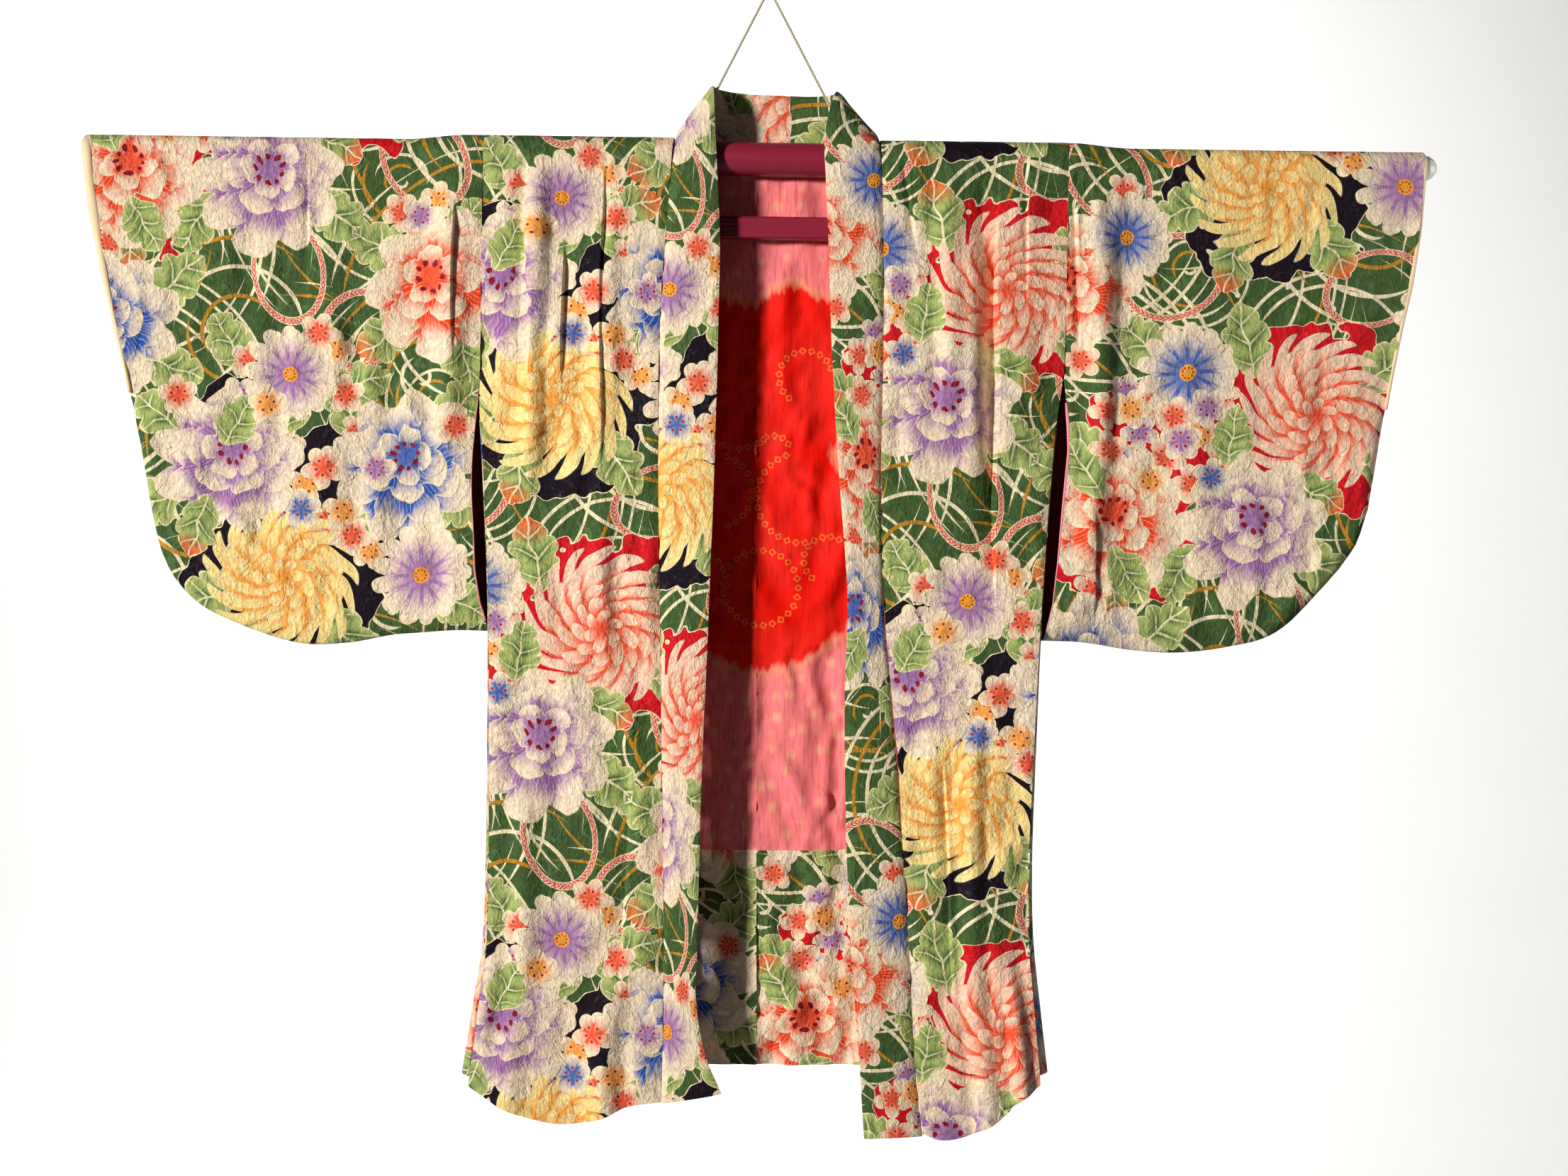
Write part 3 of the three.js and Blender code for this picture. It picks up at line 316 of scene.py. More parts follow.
# ---- curves and patches ----
def spline(rows, t):
    """Points on a smooth centripetal curve through rows, at shares t of its sections."""
    p = np.asarray(rows, float)
    p = np.vstack([2 * p[0] - p[1], p, 2 * p[-1] - p[-2]])
    t = np.clip(np.atleast_1d(t), 0, 1) * (len(p) - 3)
    i = np.minimum(t.astype(int), len(p) - 4)
    w = (t - i)[:, None]
    p0, p1, p2, p3 = (p[i + k] for k in range(4))
    d0, d1, d2 = (np.maximum(1e-4, np.linalg.norm(b - a, axis=1) ** 0.5)[:, None]
                  for a, b in ((p0, p1), (p1, p2), (p2, p3)))
    m1 = ((p1 - p0) / d0 - (p2 - p0) / (d0 + d1) + (p2 - p1) / d1) * d1
    m2 = ((p2 - p1) / d1 - (p3 - p1) / (d1 + d2) + (p3 - p2) / d2) * d1
    return p1 + m1 * w + (3 * (p2 - p1) - 2 * m1 - m2) * w**2 + (2 * (p1 - p2) + m1 + m2) * w**3


def curve(rows):
    """The smooth curve through rows, as close points."""
    return spline(rows, np.linspace(0, 1, 40 * len(rows)))


def run_of(points):
    """How far along a line each of its points is."""
    return np.concatenate([[0], np.cumsum(np.linalg.norm(np.diff(points, axis=0), axis=1))])


def along(rows, t):
    """Points on the curve through rows, at shares t of its length."""
    fine = curve(rows)
    run = run_of(fine)
    return np.stack([np.interp(t, run / run[-1], fine[:, k]) for k in range(fine.shape[1])], -1)


def x_at(rows, drop):
    """Where an edge is at a drop."""
    fine = curve(rows)
    return np.interp(drop, fine[:, 1], fine[:, 0])


def mix(a, b, t):
    """What lies between a and b at share t."""
    return a + (b - a) * t


def smooth(t):
    """Rises softly from 0 to 1 as t does."""
    t = np.clip(t, 0, 1)
    return t * t * (3 - 2 * t)


def patch(inner, outer, top, bottom, u, v):
    """x and drop of the patch between four edges, at columns u and rows v."""
    left, right = along(inner, v)[:, None], along(outer, v)[:, None]
    up, low = along(top, u)[None], along(bottom, u)[None]
    uu, vv = u[None, :, None], v[:, None, None]
    corners = mix(mix(up[:, :1], up[:, -1:], uu), mix(low[:, :1], low[:, -1:], uu), vv)
    flat = mix(up, low, vv) + mix(left, right, uu) - corners
    return flat[..., 0], np.maximum(0, flat[..., 1])


def ridge_edge(inner, outer):
    """A panel's edge along the rod."""
    return [(mix(inner[0][0], outer[0][0], t), 0) for t in (0, 0.25, 0.5, 0.75, 1)]


def body_edges(end, side):
    """A body panel's inner, outer, top and bottom edges."""
    cut = CUT[end]
    if side == FRONT:
        inner, outer = cut["collar_seam"], cut["side"]
        return inner, outer, ridge_edge(inner, outer), cut["front_hem"]
    return BACK_SEAM, cut["side"][:-1] + [cut["back_hem"][-1]], cut["neckline"], cut["back_hem"]


def bar_z(x):
    """Height of the rod's middle, which hangs a little askew."""
    return BAR_Z - TILT * x


def hang(x, drop, side, out=0.0, share=1.0):
    """Points of the cloth's inner face, bent round the rod and hanging below it. The sleeves narrow
    downwards, and body and sleeves are drawn together below the armholes."""
    part = smooth((np.abs(x) - SLEEVE_FROM) / SLEEVE_BLEND)
    radius = mix(BODY_RADIUS, SLEEVE_RADIUS, part)
    body = BODY_RADIUS + HEM_SPREAD[side] * drop / BODY_DROP
    sleeve = SLEEVE_RADIUS * (1 - SLEEVE_TAPER * drop / SLEEVE_DROP)
    beside_arm = ((np.abs(x) - GATHER_X) / GATHER_WIDE) ** 2
    gathered = np.exp(-beside_arm - ((drop - GATHER_DROP) / GATHER_HIGH) ** 2)
    depth = mix(body, sleeve, part) * (1 - GATHERED * gathered)
    bend = np.sqrt(np.maximum(0, 1 - (1 - np.minimum(1, drop / radius)) ** 2))
    depth = np.where(drop < radius, radius * bend, depth)
    return np.stack([x, side * (depth * share + out), bar_z(x) + radius - drop], -1)


def fold_out(folds, u, drop):
    """How far the large folds push the cloth outwards."""
    total = np.zeros_like(drop)
    for at, width, depth, start, end in folds:
        lift = depth * (1 + np.cos(np.pi * np.minimum(1, np.abs(u - at) / width))) / 2
        total += lift * smooth((drop - start) / 70) * smooth((end - drop) / 70)
    return total


def beside(x, drop, line):
    """A line's length, and how far along it and how far to its side each place is."""
    x0, d0, x1, d1 = line
    run = np.hypot(x1 - x0, d1 - d0)
    return (run, ((x - x0) * (x1 - x0) + (drop - d0) * (d1 - d0)) / run,
            ((x - x0) * (d1 - d0) - (drop - d0) * (x1 - x0)) / run)


def crease_out(creases, x, drop):
    """Soft ridges and troughs along the listed creases."""
    total = np.zeros_like(drop)
    for *line, width, height in creases:
        width = 1.15 * width
        run, s, off = beside(x, drop, line)
        # A crease wanders a little and fades out towards its ends.
        off = off + 0.35 * width * np.sin(s / (2.2 * width) + 0.1 * line[0])
        fade = smooth(s / (0.25 * run)) * smooth((run - s) / (0.25 * run))
        high = height * fade * (0.8 + 0.35 * np.sin(s / (5.5 * width) + 0.07 * line[1]))
        total += high * np.exp(-((off / width) ** 2))
        total -= 0.3 * high * np.exp(-(((np.abs(off) - 2.1 * width) / width) ** 2))
    return total


def tuck_out(tucks, x, drop):
    """Tucks: the cloth slopes down to a line and stands up again sharply past it."""
    total = np.zeros_like(drop)
    for *line, high, deep, wide, way in tucks:
        run, s, off = beside(x, drop, line)
        off = way * (off + 1.3 * np.sin(s / 37 + line[0]))
        fade = smooth(s / (0.22 * run)) * smooth((run - s) / (0.35 * run)) * (0.85 + 0.2 * np.sin(s / 29))
        raised = high * smooth(1 + off / (3 * wide))
        rising = np.sin(np.pi / 2 * np.clip((off - 2.4) / wide, 0, 1))
        total += fade * np.where(off < 0, raised, mix(high, -deep, smooth(off / 2.4)) + deep * rising)
    return total


def columns(name, inner, outer):
    """Places across a panel: even, and closer on either side of its tucks."""
    wide = abs(outer[0][0] - inner[0][0])
    places = [stations(wide)]
    for x0, d0, x1, d1, *_ in TUCKS[name]:
        for x, drop in ((x0, d0), (x1, d1)):
            start, end = float(x_at(inner, drop)), float(x_at(outer, drop))
            places.append((x - start) / (end - start) + np.linspace(-6, 6, 11) / wide)
    u = np.unique(np.concatenate(places).round(4))
    return u[(u >= 0) & (u <= 1)]


def ripple(x, y, seed=0.0, longest=60.0):
    """Soft uneven wrinkles, mostly upright, as a sum of waves whose heights follow their lengths."""
    chance = np.random.default_rng(int(100 + 10 * seed))
    total = np.zeros(np.broadcast(x, y).shape)
    near = total.copy()
    for _ in range(44):
        length = longest * chance.uniform(0.16, 1.0) ** 1.3
        lean, phase = chance.normal(0, 0.5), chance.uniform(0, 2 * np.pi)
        total += length / 60 * np.sin(2 * np.pi * (x * np.cos(lean) + y * np.sin(lean)) / length + phase)
    for _ in range(5):
        kx, ky = chance.normal(0, 1 / 180, 2)
        near += np.sin(2 * np.pi * (kx * x + ky * y) + chance.uniform(0, 6))
    return 0.3 * total * (0.75 + 0.25 * np.clip(near, -2, 3))


def normals(points, turn):
    """Unit normals of a grid of points, turned outwards."""
    du, dv = np.gradient(points, axis=1), np.gradient(points, axis=0)
    n = np.cross(du, dv) * turn
    return n / np.maximum(1e-9, np.linalg.norm(n, axis=-1, keepdims=True))


def skins(base, turn, high, low):
    """The outer and inner skin of cloth at two heights above a base."""
    up = normals(base, turn)
    return tuple(base + up * np.broadcast_to(height, base.shape[:2])[..., None] for height in (high, low))


# ---- meshes ----
def new_object(name, mesh):
    """An object in the scene, selected and active."""
    obj = bpy.data.objects.new(name, mesh)
    bpy.context.collection.objects.link(obj)
    bpy.ops.object.select_all(action="DESELECT")
    obj.select_set(True)
    bpy.context.view_layer.objects.active = obj
    return obj


def shell(name, walls, turn, finishes, bolt=None, faced=None):
    """A closed sheet between an outer and an inner skin, each a grid of points in millimetres. walls may hold
    several pairs, which share one mesh, and turn says which way each is wound. finishes are the materials of
    outside, inside and rim. bolt is each point's place in the print. Where faced is true the inside is of the
    outside's material."""
    points, faces, slots, cuts = [], [], [], []
    for k, (outer, inner) in enumerate(walls):
        base = sum(len(p) for p in points)
        down, across = outer.shape[:2]
        off = down * across
        grid = np.arange(off).reshape(down, across) + base
        top = np.stack([grid[:-1, :-1], grid[:-1, 1:], grid[1:, 1:], grid[1:, :-1]], -1).reshape(-1, 4)
        low = top[:, ::-1] + off
        loop = np.concatenate([grid[0, :-1], grid[:-1, -1], grid[-1, :0:-1], grid[:0:-1, 0]])
        after = np.roll(loop, -1)
        rim = np.stack([loop, loop + off, after + off, after], -1)
        quads = np.concatenate([top, low, rim])
        faces.append(quads if turn[k] > 0 else quads[:, ::-1])
        inside = np.ones(len(low), int) if faced is None else 1 - faced[k][1:, 1:].ravel()
        slots.append(np.concatenate([np.zeros(len(top), int), inside, np.full(len(rim), 2)]))
        points += [outer.reshape(-1, 3), inner.reshape(-1, 3)]
        if bolt is not None:
            cuts += [bolt[k].reshape(-1, 2)] * 2
    mesh = bpy.data.meshes.new(name)
    faces = np.concatenate(faces)
    mesh.from_pydata((np.concatenate(points) * MM).tolist(), [], faces.tolist())
    for finish in finishes:
        mesh.materials.append(finish)
    mesh.polygons.foreach_set("material_index", np.concatenate(slots).astype(np.int32))
    mesh.polygons.foreach_set("use_smooth", np.ones(len(faces), bool))
    if bolt is not None:
        lay_print(mesh, np.concatenate(cuts), faces)
    mesh.update()
    obj = new_object(name, mesh)
    # Cloth turns sharply at its rims and softly everywhere else.
    bpy.ops.object.shade_smooth_by_angle(angle=math.radians(55))
    obj.select_set(False)
    return obj


CHUNK = 20000  # places compared at a time, to save memory


def tiled(rows):
    """The rows of a layer, repeated up and down the bolt."""
    rows = np.asarray(rows, float)
    step = REPEAT * np.eye(rows.shape[1])[1]
    return np.concatenate([rows + k * step for k in (-1, 0, 1, 2)])


def nearest(centres, sizes, where):
    """For each place, the row whose centre is nearest in its own size."""
    best = np.empty(len(where), int)
    for i in range(0, len(where), CHUNK):
        gap = np.linalg.norm(where[i : i + CHUNK, None] - centres[None], axis=-1) / sizes[None]
        best[i : i + CHUNK] = gap.argmin(1)
    return best


def keep_vectors(mesh, name, domain, values):
    """Keeps three numbers for each point or face corner, for the materials to read."""
    layer = mesh.attributes.new(name, "FLOAT_VECTOR", domain)
    layer.data.foreach_set("vector", np.ascontiguousarray(values, np.float32).ravel())


def in_motif(rows, corner):
    """The motif nearest to each face: its number, its row, and the corners' place in it, in its own size."""
    rows = tiled(rows)
    which = nearest(rows[:, :2], rows[:, 2], corner.mean(1))
    near = rows[which]
    return which, near, turned(corner - near[:, None, :2], near[:, 3]) / near[:, 2, None, None]


def lay_print(mesh, cut, faces):
    """Lays one motif of each layer under each face: its place in the motif is kept at the face's corners."""
    cut = cut.copy()
    cut[:, 1] = np.mod(cut[:, 1].min(), REPEAT) + cut[:, 1] - cut[:, 1].min()
    corner = cut[faces]
    keep_vectors(mesh, "bolt", "POINT", np.column_stack([cut, np.zeros(len(cut))]))
    # The code's whole part is the colour or the kind, and its fraction makes each motif a little different.
    for name, rows in FLOWERS.items():
        which, near, local = in_motif(rows, corner)
        code = near[:, 4] + 0.02 + 0.96 * np.mod(which * 0.618, 1)
        keep_vectors(mesh, name, "CORNER", with_code(local, code))
    for name, rows in {"leaf_low": LEAVES_LOW, "leaf_high": LEAVES_HIGH}.items():
        which, near, local = in_motif(rows, corner)
        keep_vectors(mesh, name, "CORNER", with_code(local, near[:, 4] + 0.5 * np.mod(which * 0.37, 1)))
    _, near, local = in_motif(CORDS, corner)
    local[..., 1] /= near[:, 4, None]
    keep_vectors(mesh, "braid", "CORNER", with_code(local, near[:, 2]))
    for k, rows in enumerate(SWEEPS):
        rows = tiled(rows)
        gaps = np.linalg.norm(corner.mean(1)[:, None] - rows[None], axis=-1)
        first, second = np.argsort(gaps, axis=1)[:, :2].T
        away = corner - rows[first][:, None]
        # Lines thin out towards the next centre's.
        spare = np.linalg.norm(corner - rows[second][:, None], axis=-1) - np.linalg.norm(away, axis=-1)
        keep_vectors(mesh, f"sweep_{k}", "CORNER", np.dstack([away, np.clip(spare / 30, 0, 1)]))
    grounds = [blots(rows, cut) for rows in (AUBERGINE_GROUND, SCARLET_GROUND)]
    keep_vectors(mesh, "ground", "POINT", np.column_stack([*grounds, np.zeros(len(cut))]))


def turned(places, degrees):
    """Each face's corners, turned back by its motif's angle."""
    a = np.radians(degrees)[:, None]
    x, y = places[..., 0], places[..., 1]
    return np.stack([x * np.cos(a) + y * np.sin(a), y * np.cos(a) - x * np.sin(a)], -1)


def with_code(local, code):
    """Places in a motif, with the motif's code as their third number."""
    return np.concatenate([local, np.broadcast_to(code[:, None, None], local.shape[:2] + (1,))], -1)


def blots(rows, where):
    """Positive inside the patches of ground, negative outside, in radii."""
    rows = tiled(rows)
    out = np.empty(len(where))
    for i in range(0, len(where), CHUNK):
        gap = np.linalg.norm(where[i : i + CHUNK, None] - rows[None, :, :2], axis=-1)
        out[i : i + CHUNK] = (1 - gap / rows[None, :, 2]).max(1)
    return out


# ---- materials ----
def feed(tree, node, inputs):
    """Sets or links a node's inputs, which are given by name or by number."""
    for key, value in inputs.items() if isinstance(inputs, dict) else enumerate(inputs):
        socket = node.inputs[key]
        if isinstance(value, bpy.types.NodeSocket):
            tree.links.new(value, socket)
        else:
            socket.default_value = rgba(value) if socket.type == "RGBA" else value


def add(tree, kind, inputs=(), out=None, **settings):
    """Adds a shader node with its settings and inputs, and returns the output named, or the first in use.
    In a Mix the inputs 0, 6 and 7 are the mask, what lies below and what lies on top. In a MapRange 1 and 2
    are the range taken and 3 and 4 the range given."""
    node = tree.nodes.new("ShaderNode" + kind)
    for key, value in settings.items():
        setattr(node, key, value)
    feed(tree, node, inputs)
    return node.outputs[out] if out else next(socket for socket in node.outputs if socket.enabled)


def new_material(name):
    """The material of that name, with its tree and shader, or without them where it is already made."""
    material = bpy.data.materials.get(name)
    if material:
        return material, None, None
    material = bpy.data.materials.new(name)
    material.use_nodes = True
    return material, material.node_tree, material.node_tree.nodes["Principled BSDF"]


def polar(tree, place):
    """Radius and angle of a place in its motif, and the motif's code."""
    x, y, code = add(tree, "SeparateXYZ", [place]).node.outputs
    flat = add(tree, "VectorMath", [place, (1, 1, 0)], operation="MULTIPLY")
    radius = add(tree, "VectorMath", [flat], operation="LENGTH")
    return radius, add(tree, "Math", [y, x], operation="ARCTAN2"), code


def warped(tree, name, scale, amount, shift=(0, 0), detail=1.0):
    """A place in a motif, pushed about so that no two petals are alike."""
    place = add(tree, "Attribute", attribute_name=name, out="Vector")
    noise = add(tree, "TexNoise", {"Vector": place, "Scale": scale, "Detail": detail}, out="Color")
    place = add(tree, "VectorMath", [noise, (amount, amount, 0), place], operation="MULTIPLY_ADD")
    middle = [s - 0.5 * amount for s in shift]
    return add(tree, "VectorMath", [place, (*middle, 0)], operation="ADD")


def tint_of(tree, code, dyes):
    """The dye at the foot of a flower's petals."""
    kind = add(tree, "Math", [code], operation="FLOOR")
    kind = add(tree, "Math", [kind, 0.2, 0.1], operation="MULTIPLY_ADD")
    tint = add(tree, "ValToRGB", [kind])
    ramp = tint.node.color_ramp
    ramp.interpolation = "CONSTANT"
    while len(ramp.elements) < 4:
        ramp.elements.new(1.0)
    for k, dyed in enumerate((dyes.violet, dyes.blue, dyes.coral, dyes.gold)):
        ramp.elements[k].position, ramp.elements[k].color = 0.2 * k, rgba(dyed)
    return tint


def petal_ring(tree, below, place, ring, colours):
    """One ring of overlapping petals, dyed at the foot, pale at the tip, veined and outlined in white. ring
    gives the petals' count and turn, their reach and foot, how deep they part, how square their tips are, and
    how far the dye spreads. colours are the dye, the tip's colour and the outline's width."""
    (radius, angle, _), (tint, tip, line) = place, colours
    petals, turn, reach, foot, part, square, spread = ring
    across = add(tree, "Math", [angle, petals / (2 * math.pi), turn], operation="MULTIPLY_ADD")
    across = add(tree, "Math", [across, 0.5], operation="PINGPONG")
    bend = add(tree, "Math", [across, square], operation="POWER")
    edge = add(tree, "Math", [bend, -part * 2**square, reach], operation="MULTIPLY_ADD")
    inside = add(tree, "Math", [edge, radius], operation="SUBTRACT")
    mask = add(tree, "Math", [inside, 60.0], operation="MULTIPLY", use_clamp=True)
    depth = add(tree, "MapRange", {0: radius, 1: foot, 2: mix(foot, reach, spread), 3: 1.0, 4: 0.0},
                interpolation_type="SMOOTHSTEP")
    seam = add(tree, "MapRange", {0: across, 1: 0.26, 2: 0.5, 3: 0.0, 4: 0.75},
               interpolation_type="SMOOTHSTEP")
    fade = add(tree, "MapRange", {0: inside, 1: 0.0, 2: 0.3 * (reach - foot), 3: 0.0, 4: 1.0})
    seam = add(tree, "Math", [seam, fade, depth], operation="MULTIPLY_ADD", use_clamp=True)
    vein = add(tree, "Math", [across, 7.0], operation="MULTIPLY")
    vein = add(tree, "Math", [vein, 0.5], operation="PINGPONG")
    vein = add(tree, "MapRange", {0: vein, 1: 0.0, 2: 0.16, 3: 0.6, 4: 1.0})
    dyed = add(tree, "Math", [seam, vein], operation="MULTIPLY")
    colour = add(tree, "Mix", {0: dyed, 6: tip, 7: tint}, data_type="RGBA")
    rim = add(tree, "MapRange", {0: inside, 1: 1.3 * line, 2: 0.7 * line, 3: 0.0, 4: 0.95})
    colour = add(tree, "Mix", {0: rim, 6: colour, 7: OUTLINE}, data_type="RGBA")
    return add(tree, "Mix", {0: mask, 6: below, 7: colour}, data_type="RGBA")


def peony(tree, name, below, dyes):
    """Broad petals in four rings, the inner two leaning, round a ring of dark anthers."""
    outer = polar(tree, warped(tree, name, 2.0, 0.36, detail=2.5))
    heart = polar(tree, warped(tree, name, 2.8, 0.24, (-0.06, -0.14), 2.5))
    colours = tint_of(tree, outer[2], dyes), dyes.petal, 0.022
    for place, ring in [(outer, (9, 0.1, 1.0, 0.55, 0.26, 2.2, 0.7)),
                        (outer, (8, 0.6, 0.82, 0.42, 0.22, 2.2, 0.8)),
                        (heart, (6, 0.25, 0.62, 0.26, 0.18, 2.4, 0.88)),
                        (heart, (5, 0.7, 0.4, 0.08, 0.14, 2.4, 0.95))]:
        below = petal_ring(tree, below, place, ring, colours)
    return anthers(tree, below, heart, 0.17, 9, "#8a1624")


def anthers(tree, below, place, at, count, colour):
    """A ring of dots."""
    turn = add(tree, "Math", [place[1], count / (2 * math.pi)], operation="MULTIPLY")
    turn = add(tree, "Math", [turn, 0.5], operation="PINGPONG")
    turn = add(tree, "Math", [turn, at * 2 * math.pi / count], operation="MULTIPLY")
    off = add(tree, "Math", [place[0], at], operation="SUBTRACT")
    off = add(tree, "Math", [off, off], operation="MULTIPLY")
    far = add(tree, "Math", [turn, turn, off], operation="MULTIPLY_ADD")
    dot = add(tree, "Math", [far, (0.2 * at) ** 2], operation="LESS_THAN")
    return add(tree, "Mix", {0: dot, 6: below, 7: colour}, data_type="RGBA")


def chrysanthemum(tree, name, below, dyes):
    """Narrow petals in five rings that swirl, with coral or pale gold tips."""
    radius, angle, code = polar(tree, warped(tree, name, 1.4, 0.26))
    gold = add(tree, "Math", [code, GOLD], operation="GREATER_THAN")
    tip = add(tree, "Mix", {0: gold, 6: "#f3cdb4", 7: dyes.pale_gold}, data_type="RGBA")
    colours = tint_of(tree, code, dyes), tip, 0.02
    swirl = add(tree, "Math", [radius, 1.5, angle], operation="MULTIPLY_ADD")
    for ring in [(17, 0.0, 1.0, 0.58, 0.46, 3.5, 0.6), (15, 0.5, 0.8, 0.44, 0.36, 3.5, 0.7),
                 (12, 0.2, 0.6, 0.3, 0.3, 3.2, 0.8), (9, 0.7, 0.42, 0.16, 0.22, 3.0, 0.85),
                 (6, 0.4, 0.25, 0.02, 0.15, 2.5, 0.9)]:
        below = petal_ring(tree, below, (radius, swirl, code), ring, colours)
    return below


def daisy(tree, name, below, dyes):
    """Two rings of narrow petals round a gold heart with a ring of dots."""
    place = polar(tree, warped(tree, name, 1.5, 0.1))
    colours = tint_of(tree, place[2], dyes), dyes.petal, 0.034
    for ring in [(13, 0.0, 1.0, 0.16, 0.3, 3.0, 0.8), (12, 0.5, 0.93, 0.1, 0.36, 3.0, 0.95)]:
        below = petal_ring(tree, below, place, ring, colours)
    heart = add(tree, "Math", [place[0], 0.16], operation="LESS_THAN")
    below = add(tree, "Mix", {0: heart, 6: below, 7: "#e8a03a"}, data_type="RGBA")
    return anthers(tree, below, place, 0.1, 9, "#b33a1c")


def blossom(tree, name, below, dyes):
    """Five round petals and five anthers."""
    place = polar(tree, add(tree, "Attribute", attribute_name=name, out="Vector"))
    colours = tint_of(tree, place[2], dyes), dyes.petal, 0.075
    below = petal_ring(tree, below, place, (5, 0.0, 1.0, 0.0, 0.4, 2.2, 0.98), colours)
    return anthers(tree, below, place, 0.34, 5, "#a8281c")


def leaf(tree, name, below, dyes):
    """A broad leaf with a lobe at the end of each side vein: deep beside the midrib, pale at the edge, veined
    and outlined in white, with a flush of coral on some tips."""
    x, y, kind = add(tree, "SeparateXYZ", [warped(tree, name, 1.6, 0.3, detail=0.0)]).node.outputs
    y = add(tree, "Math", [y], operation="ABSOLUTE")
    # Distance from the nearest side vein, from 0 to 0.5, along a slanting and curving course.
    course = add(tree, "Math", [y, -0.85, x], operation="MULTIPLY_ADD")
    bend = add(tree, "Math", [y, y], operation="MULTIPLY")
    course = add(tree, "Math", [bend, 0.35, course], operation="MULTIPLY_ADD")
    vein = add(tree, "Math", [course, 1.75, 0.3], operation="MULTIPLY_ADD")
    vein = add(tree, "Math", [vein, 0.5], operation="PINGPONG")
    lobe = add(tree, "Math", [vein, 2.0], operation="MULTIPLY")
    lobe = add(tree, "Math", [lobe, 3.2], operation="POWER")
    lobe = add(tree, "Math", [lobe, -0.26, 1.0], operation="MULTIPLY_ADD")
    width = add(tree, "Math", [x, 0.12], operation="ADD")
    width = add(tree, "Math", [width, x], operation="MULTIPLY")
    width = add(tree, "Math", [0.95, width], operation="SUBTRACT", use_clamp=True)
    width = add(tree, "Math", [width, 0.6], operation="POWER")
    width = add(tree, "Math", [width, 0.68], operation="MULTIPLY")
    inside = add(tree, "Math", [width, lobe], operation="MULTIPLY")
    inside = add(tree, "Math", [inside, y], operation="SUBTRACT")
    mask = add(tree, "Math", [inside, 50.0], operation="MULTIPLY", use_clamp=True)
    deep = add(tree, "MapRange", {0: inside, 1: 0.02, 2: 0.5, 3: 0.0, 4: 1.0})
    shade = add(tree, "MapRange", {0: vein, 1: 0.02, 2: 0.42, 3: 1.0, 4: 0.35},
                interpolation_type="SMOOTHSTEP")
    shade = add(tree, "Math", [shade, deep], operation="MULTIPLY")
    colour = add(tree, "Mix", {0: shade, 6: dyes.leaf_pale, 7: dyes.leaf_deep}, data_type="RGBA")
    kind = add(tree, "Math", [kind, 1.2], operation="GREATER_THAN")
    flushed = add(tree, "MapRange", {0: x, 1: 0.3, 2: 0.9})
    flushed = add(tree, "Math", [flushed, kind], operation="MULTIPLY")
    colour = add(tree, "Mix", {0: flushed, 6: colour, 7: dyes.coral}, data_type="RGBA")
    # The veins thin out towards the edge.
    thin = add(tree, "MapRange", {0: inside, 1: 0.05, 2: 0.5, 3: 0.02, 4: 0.07})
    veins = add(tree, "Math", [vein, thin], operation="LESS_THAN")
    midrib = add(tree, "Math", [y, 0.028], operation="LESS_THAN")
    rim = add(tree, "Math", [inside, 0.045], operation="LESS_THAN")
    white = add(tree, "Math", [veins, 0.75, midrib], operation="MULTIPLY_ADD", use_clamp=True)
    white = add(tree, "Math", [white, rim], operation="MAXIMUM")
    white = add(tree, "Math", [white, 0.9], operation="MULTIPLY")
    colour = add(tree, "Mix", {0: white, 6: colour, 7: OUTLINE}, data_type="RGBA")
    return add(tree, "Mix", {0: mask, 6: below, 7: colour}, data_type="RGBA")


def sweep(tree, k, below, dyes):
    """One set of lines that sweep round a centre, each tapering and ending in its own place."""
    radius, angle, taper = polar(tree, add(tree, "Attribute", attribute_name=f"sweep_{k}", out="Vector"))
    count = add(tree, "Math", [radius, 1 / (10.0 + 1.7 * k)], operation="MULTIPLY")
    ring = add(tree, "Math", [count], operation="FLOOR")
    off = add(tree, "Math", [count], operation="FRACT")
    off = add(tree, "Math", [off, 0.5], operation="SUBTRACT")
    off = add(tree, "Math", [off], operation="ABSOLUTE")
    number = add(tree, "Math", [ring, 17.3 * (k + 1)], operation="ADD")
    chance = add(tree, "TexWhiteNoise", {"W": number}, noise_dimensions="1D")
    phase = add(tree, "Math", [chance, 12.0, angle], operation="MULTIPLY_ADD")
    swell = add(tree, "Math", [phase], operation="SINE")
    width = add(tree, "MapRange", {0: swell, 1: 0.0, 2: 0.5, 3: 0.0, 4: 0.135})
    width = add(tree, "Math", [width, taper], operation="MULTIPLY")
    line = add(tree, "Math", [width, off], operation="GREATER_THAN")
    gilt = add(tree, "Math", [chance, 0.72], operation="GREATER_THAN")
    colour = add(tree, "Mix", {0: gilt, 6: dyes.line, 7: dyes.ochre}, data_type="RGBA")
    return add(tree, "Mix", {0: line, 6: below, 7: colour}, data_type="RGBA")


